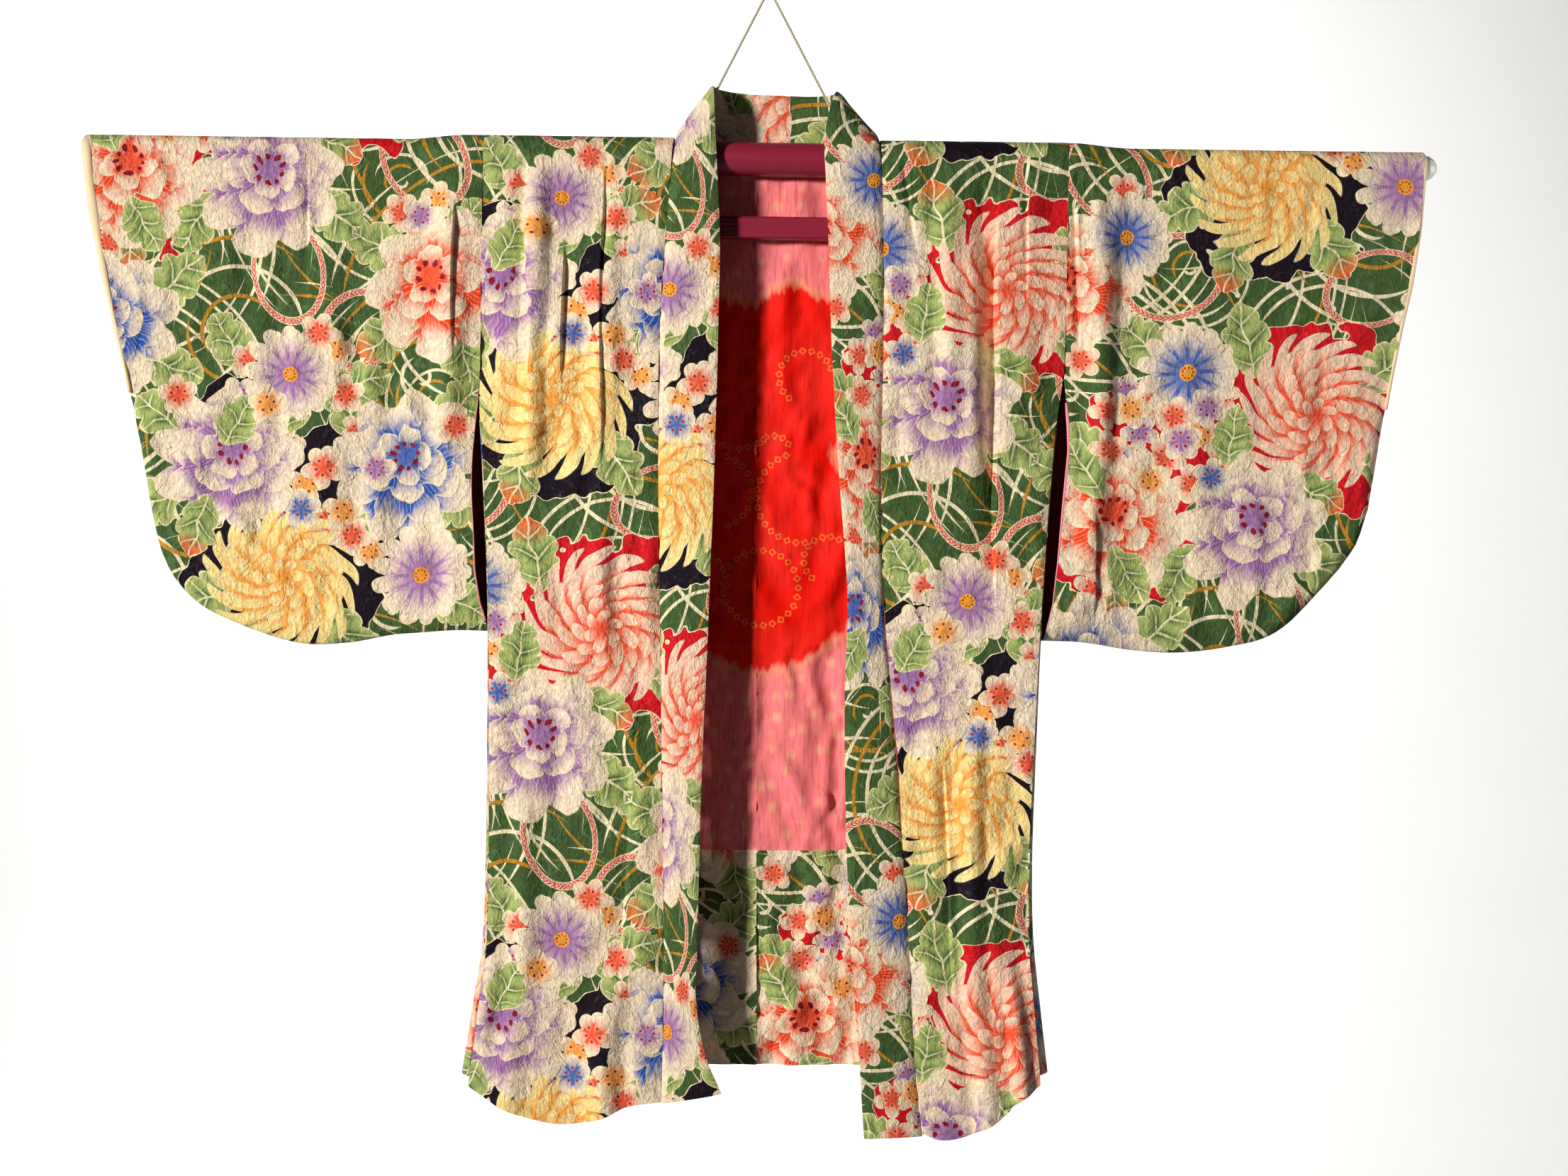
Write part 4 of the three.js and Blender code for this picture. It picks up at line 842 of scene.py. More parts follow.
def braid(tree, below):
    """Loops of braided cord, pink with red chevrons and a pale outline."""
    radius, angle, size = polar(tree, add(tree, "Attribute", attribute_name="braid", out="Vector"))
    off = add(tree, "Math", [radius, 1.0], operation="SUBTRACT")
    off = add(tree, "Math", [off, size], operation="MULTIPLY")
    off = add(tree, "Math", [off], operation="ABSOLUTE")
    slant = add(tree, "Math", [off, 0.35], operation="MULTIPLY")
    turn = add(tree, "Math", [angle, 9.0, slant], operation="MULTIPLY_ADD")
    chevron = add(tree, "Math", [turn, 0.5], operation="PINGPONG")
    chevron = add(tree, "Math", [chevron, 0.2], operation="GREATER_THAN")
    colour = add(tree, "Mix", {0: chevron, 6: "#cf3a2c", 7: "#eab29c"}, data_type="RGBA")
    edge = add(tree, "Math", [off, 2.9], operation="GREATER_THAN")
    colour = add(tree, "Mix", {0: edge, 6: colour, 7: OUTLINE}, data_type="RGBA")
    shown = add(tree, "Math", [off, 3.7], operation="LESS_THAN")
    return add(tree, "Mix", {0: shown, 6: below, 7: colour}, data_type="RGBA")


def printed_crepe():
    """Figured silk crepe, stencil-dyed: a matt crinkled ground with woven leaves that catch the light."""
    material, tree, shader = new_material("Printed figured silk crepe")
    if tree is None:
        return material
    dyes = bpy.context.scene.haori_print
    bolt = add(tree, "Attribute", attribute_name="bolt", out="Vector")
    ground = add(tree, "Attribute", attribute_name="ground", out="Vector")
    dark, red, _ = add(tree, "SeparateXYZ", [ground]).node.outputs
    # Woven leaves about 25 mm long show as a slight change of gloss, and as a painted sheen that lightens
    # the green a quarter where they lie.
    figure = add(tree, "TexNoise", {"Vector": bolt, "Scale": 0.045, "Detail": 1.5, "Distortion": 1.4})
    figure = add(tree, "MapRange", {0: figure, 1: 0.52, 2: 0.58})
    colour = add(tree, "Mix", {0: figure, 6: dyes.green, 7: tuple(1.25 * c for c in dyes.green)},
                 data_type="RGBA")
    for k in range(3):
        colour = sweep(tree, k, colour, dyes)
    colour = braid(tree, colour)
    ragged = add(tree, "TexNoise", {"Vector": bolt, "Scale": 0.035, "Detail": 1.5})
    for dyed, zone in ((dyes.aubergine, dark), (dyes.scarlet, red)):
        zone = add(tree, "Math", [zone, 0.45], operation="SUBTRACT")
        zone = add(tree, "Math", [ragged, 0.9, zone], operation="MULTIPLY_ADD")
        for laid, start in ((OUTLINE, 0.0), (dyed, 0.02)):
            shown = add(tree, "Math", [zone, start], operation="GREATER_THAN")
            colour = add(tree, "Mix", {0: shown, 6: colour, 7: laid}, data_type="RGBA")
    for draw, name in ((leaf, "leaf_low"), (blossom, "blossom_low"), (chrysanthemum, "chrysanthemum"),
                       (peony, "peony_low"), (leaf, "leaf_high"), (peony, "peony_high"), (daisy, "daisy"),
                       (blossom, "blossom_high")):
        colour = draw(tree, name, colour, dyes)
    # The crepe's crinkle is about 1 mm in the cloth, drawn here at 2 to 5 mm so that it shows. The woven
    # leaves lie flatter than the ground.
    upright = add(tree, "Mapping", {"Vector": bolt, "Scale": (1, 0.6, 1)})
    crinkle = add(tree, "TexNoise", {"Vector": upright, "Scale": 0.3, "Detail": 3.0, "Roughness": 0.7,
                                     "Distortion": 0.6})
    # Painted shade and highlight of the crinkle: the colour is darker in its hollows and lighter on its
    # crests.
    depth = add(tree, "MapRange", {0: crinkle, 1: 0.3, 2: 0.7, 3: 0.74, 4: 1.2})
    colour = add(tree, "VectorMath", {0: colour, "Scale": depth}, operation="SCALE")
    height = add(tree, "Math", [figure, 0.25, crinkle], operation="MULTIPLY_ADD")
    bump = add(tree, "Bump", {"Strength": 0.9, "Distance": 2.4 * MM, "Height": height})
    gloss = add(tree, "MapRange", {0: figure, 3: 0.75, 4: 0.42})
    feed(tree, shader, {"Base Color": colour, "Normal": bump, "Roughness": gloss, "Sheen Weight": 0.03,
                        "Sheen Roughness": 0.4, "Specular IOR Level": 0.14})
    return material


def plain_silk(name, colour, pale, roughness=0.6):
    """A plain-woven silk, dyed in the piece, with faint threads and uneven dye."""
    material, tree, shader = new_material(name)
    if tree is None:
        return material
    where = add(tree, "TexCoord", out="Object")
    uneven = add(tree, "TexNoise", {"Vector": where, "Scale": 28.0, "Detail": 3.0})
    upright = add(tree, "Mapping", {"Vector": where, "Scale": (1, 1, 0.15)})
    threads = add(tree, "TexNoise", {"Vector": upright, "Scale": 420.0})
    dyed = add(tree, "Mix", {0: uneven, 6: colour, 7: pale}, data_type="RGBA")
    bump = add(tree, "Bump", {"Strength": 0.2, "Distance": 0.4 * MM, "Height": threads})
    feed(tree, shader, {"Base Color": dyed, "Normal": bump, "Roughness": roughness, "Sheen Weight": 0.15})
    return material


# Arcs of undyed squares on the red of the lining: x, z, radius, and the angles between which they run.
SQUARE_ARCS = [(-30, -376, 40, 120, 320), (34, -350, 25, 20, 250), (-50, -456, 34, 290, 460),
               (30, -462, 42, 110, 310), (-8, -546, 35, 0, 360), (54, -520, 22, 60, 250),
               (-66, -540, 26, 280, 460), (4, -420, 16, 30, 200)]


def tied_lining():
    """Silk dyed by tying: red in the middle, pink with undyed dots above and below, and rings of squares."""
    material, tree, shader = new_material("Tie-dyed silk lining")
    if tree is None:
        return material
    dyes = bpy.context.scene.haori_finish
    where = add(tree, "TexCoord", out="Object")
    depth = add(tree, "SeparateXYZ", [add(tree, "Attribute", attribute_name="dye", out="Vector")])
    upright = add(tree, "Mapping", {"Vector": where, "Scale": (1, 1, 0.16)})
    ragged = add(tree, "TexNoise", {"Vector": upright, "Scale": 140.0, "Detail": 2.0})
    edge = add(tree, "Math", [ragged, 26.0, depth], operation="MULTIPLY_ADD")
    red = add(tree, "MapRange", {0: edge, 1: 10.0, 2: 19.0})
    # Pale dots stand about 14 mm apart on the pink.
    spots = add(tree, "Mapping", {"Vector": where, "Scale": (1, 0, 0.85)})
    spots = add(tree, "TexVoronoi", {"Vector": spots, "Scale": 72.0, "Randomness": 0.6})
    spots = add(tree, "MapRange", {0: spots, 1: 0.12, 2: 0.42, 3: 0.5, 4: 0.0})
    pink = add(tree, "Mix", {0: spots, 6: dyes.pink, 7: dyes.dots}, data_type="RGBA")
    halo = add(tree, "Math", [edge, 12.0], operation="SUBTRACT")
    halo = add(tree, "Math", [halo], operation="ABSOLUTE")
    halo = add(tree, "MapRange", {0: halo, 1: 0.0, 2: 7.0, 3: 0.55, 4: 0.0})
    colour = add(tree, "Mix", {0: red, 6: pink, 7: dyes.red}, data_type="RGBA")
    colour = add(tree, "Mix", {0: halo, 6: colour, 7: "#f4a071"}, data_type="RGBA")
    # Squares about 5 mm wide, tied round a seed that keeps its own dot of red.
    knot = add(tree, "Attribute", attribute_name="knot", out="Vector")
    knot = add(tree, "VectorMath", [knot], operation="ABSOLUTE")
    x, y, _ = add(tree, "SeparateXYZ", [knot]).node.outputs
    square = add(tree, "Math", [x, y], operation="ADD")
    square = add(tree, "Math", [square, 2.9], operation="SUBTRACT")
    square = add(tree, "Math", [square], operation="ABSOLUTE")
    square = add(tree, "MapRange", {0: square, 1: 0.7, 2: 1.3, 3: 0.55, 4: 0.0})
    square = add(tree, "Math", [square, red], operation="MULTIPLY")
    colour = add(tree, "Mix", {0: square, 6: colour, 7: "#f28c3c"}, data_type="RGBA")
    uneven = add(tree, "TexNoise", {"Vector": where, "Scale": 30.0, "Detail": 3.0})
    uneven = add(tree, "MapRange", {0: uneven, 1: 0.35, 2: 0.75, 3: 0.0, 4: 0.03})
    colour = add(tree, "Mix", {0: uneven, 6: colour, 7: "#fbd0b8"}, data_type="RGBA")
    upright = add(tree, "Mapping", {"Vector": where, "Scale": (1, 1, 0.12)})
    threads = add(tree, "TexNoise", {"Vector": upright, "Scale": 380.0})
    ribs = add(tree, "MapRange", {0: threads, 1: 0.5, 2: 0.3, 3: 0.0, 4: 0.35})
    colour = add(tree, "Mix", {0: ribs, 6: colour, 7: "#7a1010"}, data_type="RGBA")
    bump = add(tree, "Bump", {"Strength": 0.3, "Distance": 0.8 * MM, "Height": threads})
    feed(tree, shader, {"Base Color": colour, "Normal": bump, "Roughness": 0.65, "Specular IOR Level": 0.08})
    return material


def moulded_plastic(name, colour, ribs=0.0, roughness=0.38):
    """Injection-moulded polystyrene, slightly glossy, with faint flow marks and, where asked, fine ribs."""
    material, tree, shader = new_material(name)
    if tree is None:
        return material
    where = add(tree, "TexCoord", out="Object")
    level = add(tree, "Mapping", {"Vector": where, "Scale": (0.12, 1, 1)})
    marks = add(tree, "TexNoise", {"Vector": level, "Scale": 160.0, "Detail": 3.0})
    shade = add(tree, "MapRange", {0: marks, 1: 0.3, 2: 0.7, 3: 0.0, 4: 0.25})
    height, depth = marks, 0.15 * MM
    if ribs:
        z = add(tree, "SeparateXYZ", [where], out="Z")
        turn = add(tree, "Math", [z, 2 * math.pi / ribs], operation="MULTIPLY")
        height, depth = add(tree, "Math", [turn], operation="SINE"), 0.5 * MM
    tint = add(tree, "Mix", {0: shade, 6: colour, 7: tuple(0.7 * c for c in colour)}, data_type="RGBA")
    bump = add(tree, "Bump", {"Strength": 0.5, "Distance": depth, "Height": height})
    gloss = add(tree, "MapRange", {0: marks, 3: roughness - 0.08, 4: roughness + 0.1})
    feed(tree, shader, {"Base Color": tint, "Normal": bump, "Roughness": gloss})
    return material


def twisted_thread():
    """Cotton thread of two plies, matt and slightly hairy."""
    material, tree, shader = new_material("Twisted cotton cord")
    if tree is None:
        return material
    colour = bpy.context.scene.haori_finish.thread
    where = add(tree, "TexCoord", out="Object")
    fibres = add(tree, "TexNoise", {"Vector": where, "Scale": 900.0, "Detail": 3.0})
    tint = add(tree, "Mix", {0: fibres, 6: colour, 7: tuple(0.6 * c for c in colour)}, data_type="RGBA")
    bump = add(tree, "Bump", {"Strength": 0.4, "Distance": 0.3 * MM, "Height": fibres})
    feed(tree, shader, {"Base Color": tint, "Normal": bump, "Roughness": 0.9})
    return material


def rolled_edge():
    """The narrow roll of lining that shows at the cuffs, pale with wear."""
    return plain_silk("Rolled edge of the lining", "#e6c79a", "#f0dcb8")


def maroon_silk():
    """The sleeves' lining, dark and a little glossier."""
    return plain_silk("Maroon silk of the sleeves", bpy.context.scene.haori_finish.maroon, "#a02a3c", 0.55)


def rose_edge():
    """The faded rose edge of the sleeves' lining."""
    return plain_silk("Rose edge of the lining", "#e0607c", "#f0a0a8")


# ---- pieces ----
def stations(length, step=ACROSS):
    """Even places along a length, as shares of it."""
    return np.linspace(0, 1, max(3, int(round(length / step)) + 1))


def round_end(stops, length):
    """More rows where a sleeve rounds off to its closed edge."""
    extra = 1 - np.array([0.004, 0.015, 0.04, 0.08, 0.16, 0.27, 0.4, 0.6, 0.8]) * CLOSED_EDGE / length
    return np.unique(np.concatenate([stops[stops < 1 - CLOSED_EDGE / length], extra, [1.0]]))


def bend_rows(length):
    """More rows where the cloth bends round the rod."""
    bend = (1 - np.cos(np.linspace(0, np.pi / 2, 9))) * BODY_RADIUS / length
    return np.unique(np.concatenate([bend, bend[-1] + (1 - bend[-1]) * stations(length, DOWN)[1:]]))


def puckers(distance, run, seed):
    """Short waves along a sewn edge, at right angles to it."""
    cloth = bpy.context.scene.haori_cloth
    wave = np.sin(2 * np.pi * run / 19 + 2.1 * np.sin(run / 31 + seed))
    wave = wave * (0.6 + 0.4 * np.sin(run / 47 + seed))
    sunk = -1.1 * np.exp(-((distance / 3.5) ** 2))
    return sunk + cloth.pucker / MM * wave * np.exp(-np.maximum(0, distance) / 14)


def relief(name, x, drop, seed, seams):
    """Creases, wrinkles and puckers of a piece, in millimetres. seams are distances from its sewn edges."""
    cloth = bpy.context.scene.haori_cloth
    total = cloth.crease * crease_out(CREASES[name], x, drop) + cloth.wrinkle / MM * 2 * ripple(x, drop, seed)
    total = total + tuck_out(TUCKS[name], x, drop)
    for k, distance in enumerate(seams):
        total = total + puckers(distance, drop, seed + k)
    # Over the rod the cloth lies tight.
    floor = mix(-1.4, -6, smooth((drop - 30) / 40)) - 10 * smooth((drop - 76) / 50)
    return np.maximum(total * smooth(drop / 14 + 0.15), floor)


def cloth_piece(obj, nodes, flat, area=None):
    """Attaches a piece of cloth to the root and hides the solids it stands for. flat and area, its size and
    area when it lies flat in metres, are not used.
    """
    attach(obj, "root")
    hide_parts(*nodes)


def extent(values):
    """How far values spread, in metres."""
    return (values.max() - values.min()) * MM


def flat_area(x, drop):
    """Area of a patch before it is hung, in square metres."""
    a = np.stack([np.diff(x, axis=1)[:-1], np.diff(drop, axis=1)[:-1]], -1)
    b = np.stack([np.diff(x, axis=0)[:, :-1], np.diff(drop, axis=0)[:, :-1]], -1)
    return float(np.abs(a[..., 0] * b[..., 1] - a[..., 1] * b[..., 0]).sum() * MM * MM)


# How each piece lies on the bolt: where its ridge is along it, and how far x is shifted across it.
BOLT_PLACE = {"front_left": (1420, 388), "back_left": (1420, 388), "front_right": (1105, 16),
              "back_right": (1105, 16), "sleeve_left": (900, 638), "sleeve_right": (1210, -267),
              "facing_left": (700, 388), "facing_right": (1010, 16)}
# The collar's two lengths: where they start along the bolt, and how far across it.
BAND_PLACE = {"left": (1300, 190), "right": (930, 70)}
BAND_WIDE = 55
GUSSET_TOP, GUSSET_PLACE = 262, {"left": 1000, "right": 1250}


def on_bolt(name, x, drop, side):
    """Place on the bolt of a point of a piece: across it, and along it over the rod from front to back."""
    ridge, shift = BOLT_PLACE[name]
    return np.stack([x + shift, ridge + side * drop], -1)


def body_piece(end, side):
    """A front or back panel: printed crepe, lined with silk and faced with crepe at the hem."""
    name, turn = f"{PANEL[side]}_{end}", WAY[end] * side
    inner, outer, top, hem = body_edges(end, side)
    u = columns(name, inner, outer)
    x, drop = patch(inner, outer, top, hem, u, bend_rows(outer[-1][1]))
    base = hang(x, drop, side, fold_out(FOLDS[name], u[None], drop))
    high = SHELL + body_relief(end, side, x, drop)
    obj = shell(f"{name}_cloth", [skins(base, turn, high, high - WALL)], [turn],
                [printed_crepe(), front_lining(), printed_crepe()], [on_bolt(name, x, drop, side)],
                [drop > FACED_FROM])
    cloth_piece(obj, [name], (extent(x), extent(drop)), flat_area(x, drop))


def body_relief(end, side, x, drop):
    """Creases, wrinkles and puckers of a body panel, which the lining behind it follows."""
    inner, outer, _, _ = body_edges(end, side)
    far = np.abs(x - x_at(outer, drop)), np.abs(x - x_at(inner, drop))
    return relief(f"{PANEL[side]}_{end}", x, drop, 1.3 * side + WAY[end], far)


def front_lining():
    """The fronts' lining, matt pink."""
    return plain_silk("Pink silk inside the fronts", bpy.context.scene.haori_finish.pink, "#e4848c")


# How far the back half of a sleeve stands out past the front half along its open edge, and how far the
# front half's edge hangs away from the body, as (drop, distance).
OPEN_EDGE, OPEN_FROM, OPEN_OVER = {"left": 8.0, "right": 9.5}, 196, 44
FRONT_EDGE = {"left": [(215, 0), (270, 2.5), (330, 4), (400, 4), (430, 0), (455, -6)],
              "right": [(215, 0), (255, 4), (285, 6), (325, 5), (385, 4), (425, 2), (455, -3)]}


def rounded(distance):
    """The share of a closed edge's depth at a distance from it."""
    return np.sqrt(1 - (1 - np.clip(distance / CLOSED_EDGE, 0, 1)) ** 2)


def sleeve_piece(end):
    """A sleeve's two halves, closed below and outside, with the rolls of lining at its open edges."""
    cut, way = CUT[end], WAY[end]
    inner, outer = cut["sleeve_inner"], cut["sleeve_outer"]
    wide, deep = abs(outer[0][0] - inner[0][0]), inner[-1][1]
    u = np.union1d(columns(f"sleeve_{end}_front", inner, outer), columns(f"sleeve_{end}_back", inner, outer))
    u, v = round_end(u, wide), round_end(bend_rows(deep), deep)
    flat_x, drop = patch(inner, outer, ridge_edge(inner, outer), cut["sleeve_bottom"], u, v)
    uu, vv = u[None], v[:, None]
    shut = smooth((drop - CUFF_DROP) / CLOSED_EDGE)
    share = rounded((1 - vv) * deep) * mix(1, rounded((1 - uu) * wide), shut)
    walls, turns, bolts = [], [], []
    for side in (FRONT, BACK):
        if side == BACK:
            # Below the armhole the back half reaches further in, so that its lining shows.
            x = flat_x - way * OPEN_EDGE[end] * smooth((drop - OPEN_FROM) / OPEN_OVER) * (1 - uu) ** 12
        else:
            x = flat_x + way * np.interp(drop, *zip(*FRONT_EDGE[end])) * (1 - uu) ** 9
        base = hang(x, drop, side, share * fold_out(FOLDS[f"sleeve_{end}"], uu, drop), share)
        lift = relief(f"sleeve_{end}_{PANEL[side]}", x, drop, 2.1 * side + way,
                      [np.abs(x - x_at(inner, drop))])
        high = SHELL + lift * share
        walls.append(skins(base, way * side, high, high - WALL))
        turns.append(way * side)
        bolts.append(on_bolt(f"sleeve_{end}", x, drop, side))
    obj = shell(f"sleeve_{end}_cloth", walls, turns, [printed_crepe(), maroon_silk(), rose_edge()], bolts)
    # The lining is rolled out a little along the open edge of the front half.
    shown = (drop[:, 0] > EDGE_ROLL[0]) & (drop[:, 0] < EDGE_ROLL[1])
    middle = (walls[0][0][shown, 0] + walls[0][1][shown, 0]) / 2
    half = np.interp(drop[shown, 0], *zip(*EDGE_ROLLS[end]))
    forward = np.broadcast_to([0.0, -1.0, 0.0], middle.shape)
    rolls = [roll(f"edge_roll_{end}", middle, (way, 0, 0), forward, half, 0.9, rose_edge()), cuff_roll(end)]
    cloth_piece(obj, [f"sleeve_{end}_front", f"sleeve_{end}_back"], (extent(x), 2 * drop.max() * MM),
                2 * flat_area(x, drop))


def collar_piece(end):
    """One length of the collar band, folded double: thick in its middle and rounded at its folded edges."""
    cut, way = CUT[end], WAY[end]
    seam_rows, edge_rows = [], []
    for z, edge_x, edge_z, lift in BANDS[end]:
        x = float(x_at(cut["collar_seam"], bar_z(way * 100) + BODY_RADIUS - z)) - way * 0.3
        y = float(hang(np.array(x), np.array(bar_z(x) + BODY_RADIUS - z), FRONT)[1])
        seam_rows.append((x, y, z))
        edge_rows.append((edge_x, y - lift, edge_z))
    for row in NECKS[end]:
        seam_rows.append(row[:3])
        edge_rows.append(row[3:])
    t, u = np.linspace(0, 1, 260), np.linspace(0, 1, 17)
    seam, edge = spline(seam_rows, t), spline(edge_rows, t)
    base = mix(seam[:, None], edge[:, None], u[None, :, None])
    run = run_of(mix(seam, edge, 0.5))
    full = (1 - np.abs(2 * u - 1) ** 7)[None] ** 0.5
    waves = 0.5 * ripple(40 * u[None], run[:, None], 3 + way) + puckers(u * 50, run[:, None], way)
    middle = 1.5 * np.sin(np.pi * u)[None] + BAND / 2 + waves
    walls = skins(base, -way, middle + BAND / 2 * full, middle - BAND / 2 * full)
    start, across = BAND_PLACE[end]
    bolt = np.stack(np.broadcast_arrays(across - way * BAND_WIDE * u[None], start + run[:, None]), -1)
    obj = shell(f"collar_{end}_cloth", [walls], [-way], [printed_crepe()] * 3, [bolt])
    cloth_piece(obj, [f"collar_{end}"], (0.056, float(run[-1]) * MM))


def gusset_piece(end):
    """The wedge between front and back, from below the armhole to the hem."""
    way, (_, rows, _, _) = WAY[end], body_edges(end, BACK)
    last = rows[-1][1] - 3
    u, v = np.linspace(0, 1, 15), stations(last - GUSSET_TOP, DOWN)
    drop = mix(GUSSET_TOP, last, v)[:, None]
    x = x_at(rows, drop) + way * 0.5
    base = mix(hang(x, drop, FRONT), hang(x, drop, BACK), mix(0.02, 0.98, u)[None, :, None])
    base[..., 0] += way * mix(1.5, 8, v[:, None] ** 2) * np.sin(np.pi * u)[None]
    bolt = np.stack(np.broadcast_arrays(60 - way * 36 * u[None], GUSSET_PLACE[end] - drop), -1)
    obj = shell(f"gusset_{end}_cloth", [skins(base, -way, 0.3, -1.1)], [-way],
                [printed_crepe(), front_lining(), printed_crepe()], [bolt])
    cloth_piece(obj, [f"gusset_{end}"], (0.045, (last - GUSSET_TOP) * MM))


# ---- inside the back: the share of the back's length that each piece covers ----
INSIDE = {"lining_upper": (0.004, 0.5371), "lining_lower": (0.5371, 0.764), "hem_facing": (0.764, 1.0)}


def inside_back(part):
    """One piece of the inside, right across the back, on the same form as the shell behind it."""
    walls, bolts, area, width = [], [], 0.0, 0.0
    low, high = INSIDE[part]
    v = mix(low, high, stations((high - low) * BACK_LENGTH, DOWN))
    for end in CUT:
        inner, outer, top, hem = body_edges(end, BACK)
        u = stations(abs(outer[0][0] - CENTRE_BACK)) * 0.975
        x, drop = patch(inner, outer, top, hem, u, v)
        base = hang(x, drop, BACK, fold_out(FOLDS[f"back_{end}"], u[None], drop))
        edge = np.minimum((v - low), (high - v))[:, None] * BACK_LENGTH
        # The lining follows the shell behind it, and sags away from it in places.
        sag = 2.4 * crease_out(CREASES[part], x, drop) + 1.5 * ripple(x, drop, 4, 34.0)
        sag = sag + 0.8 * puckers(edge, x, 5.0) - 2.4
        sag = np.maximum(-9 * smooth(drop / 80), -1.2 * np.logaddexp(0, -sag / 1.2))
        lift = body_relief(end, BACK, x, drop) + sag
        walls.append(skins(base, WAY[end], lift + 0.2, lift - 0.7))
        bolts.append(on_bolt(f"facing_{end}", x, drop, FRONT))
        area += flat_area(x, drop)
        width += extent(x)
    if part == "hem_facing":
        obj = shell(f"{part}_cloth", walls, list(WAY.values()), [printed_crepe()] * 3, bolts)
    else:
        obj = shell(f"{part}_cloth", walls, list(WAY.values()), [tied_lining()] * 3)
        dye_marks(obj.data)
    cloth_piece(obj, [f"{part}_left", f"{part}_right"], (width, extent(drop)), area)


def dye_marks(mesh):
    """Where the lining is red, in millimetres inside its edge, and the nearest ring of squares."""
    p = np.empty(len(mesh.vertices) * 3, np.float32)
    mesh.vertices.foreach_get("co", p)
    x, _, z = (p.reshape(-1, 3) / MM).T
    # The red's upper, lower and right edges all waver.
    top = -272 + 0.05 * x + 7 * np.sin(x / 13)
    low = -604 - 22 * np.sin((x + 60) / 34)
    right = 62 + 26 * np.abs(np.sin((z + 30) / 62)) + np.where(np.abs(x) > 120, 200, 0)
    inside = np.minimum(np.minimum(top - z, z - low), np.where(x > 0, right - x, 200))
    keep_vectors(mesh, "dye", "POINT", np.column_stack([inside, 0 * x, 0 * x]))
    faces = np.array([f.vertices[:] for f in mesh.polygons])
    where = np.column_stack([x, z])
    knots = []
    for cx, cz, radius, start, end in SQUARE_ARCS:
        count = max(2, round(math.radians(end - start) * radius / 8.4))
        for a in np.radians(np.linspace(start, end, count, endpoint=end - start == 360)):
            knots.append((cx + radius * math.cos(a), cz + radius * math.sin(a), a))
    knots = np.array(knots)
    which = nearest(knots[:, :2], np.ones(len(knots)), where[faces].mean(1))
    local = turned(where[faces] - knots[which, None, :2],
                   np.degrees(knots[which, 2]) + 12 * np.sin(9.0 * which))
    keep_vectors(mesh, "knot", "CORNER", with_code(local, np.zeros(len(which))))


def sleeve_lining_piece(end):
    """The lining of a sleeve's back half, which shows at the open edge."""
    cut, way = CUT[end], WAY[end]
    inner, outer = cut["sleeve_inner"], cut["sleeve_outer"]
    wide, deep = abs(outer[0][0] - inner[0][0]), inner[-1][1]
    u = mix(0.002, 1 - CLOSED_EDGE / wide, stations(wide, 8))
    v = mix(0.04, 1 - CLOSED_EDGE / deep, stations(deep, 8))
    x, drop = patch(inner, outer, ridge_edge(inner, outer), cut["sleeve_bottom"], u, v)
    base = hang(x, drop, BACK, fold_out(FOLDS[f"sleeve_{end}"], u[None], drop))
    lift = 0.4 * ripple(x, drop, 7)
    walls = skins(base, way, lift - 0.3, lift - 1.2)
    obj = shell(f"sleeve_lining_{end}_cloth", [walls], [way], [maroon_silk()] * 3)
    cloth_piece(obj, [f"sleeve_lining_{end}"], (extent(x), extent(drop)), flat_area(x, drop))


# The drops between which the open edge of a sleeve's front shows its lining, and the rolls of lining there
# and along each cuff, as (drop, half width).
EDGE_ROLL = 236, 448
CUFF_ROLLS = {"left": [(0, 4.2), (60, 4.6), (140, 3.0), (250, 1.6)],
              "right": [(0, 2.0), (120, 2.2), (250, 1.4)]}
EDGE_ROLLS = {"left": [(230, 0.4), (370, 0.6), (395, 1.0), (440, 1.0)],
              "right": [(230, 0.8), (250, 1.9), (300, 1.5), (350, 1.2), (400, 0.7), (440, 0.5)]}


def cuff_roll(end):
    """A soft roll along both halves of the cuff, from the ridge to where the sleeve is sewn shut."""
    cut, way = CUT[end], WAY[end]
    centres, ups, half = [], [], []
    down = np.linspace(0, CUFF_DROP + 12, 46)
    for side, drops in ((FRONT, down[::-1]), (BACK, down[1:])):
        for drop in drops:
            x = float(x_at(cut["sleeve_outer"], drop)) + way * 0.5
            centres.append(hang(np.array(x), np.array(float(drop)), side, SHELL * 0.5))
            bend = min(math.pi / 2, drop / 12)
            ups.append([0, side * math.sin(bend), math.cos(bend)])
            half.append(float(np.interp(drop, *zip(*CUFF_ROLLS[end]))) * (1 + 0.06 * math.sin(drop / 9)))
    return roll(f"cuff_roll_{end}", np.array(centres), (way, 0, 0), np.array(ups), half, 1.9, rolled_edge())


def roll(name, centres, across, ups, half, thick, finish):
    """A closed roll of cloth through centres, half wide one way and thick the other."""
    turn = np.linspace(0, 2 * np.pi, 12, endpoint=False)
    rings = [c + np.outer(np.cos(turn), across) * h + np.outer(np.sin(turn), up) * thick
             for c, up, h in zip(centres, ups, half)]
    obj = tube_mesh(name, [rings], finish)
    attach(obj, "root")
    return obj


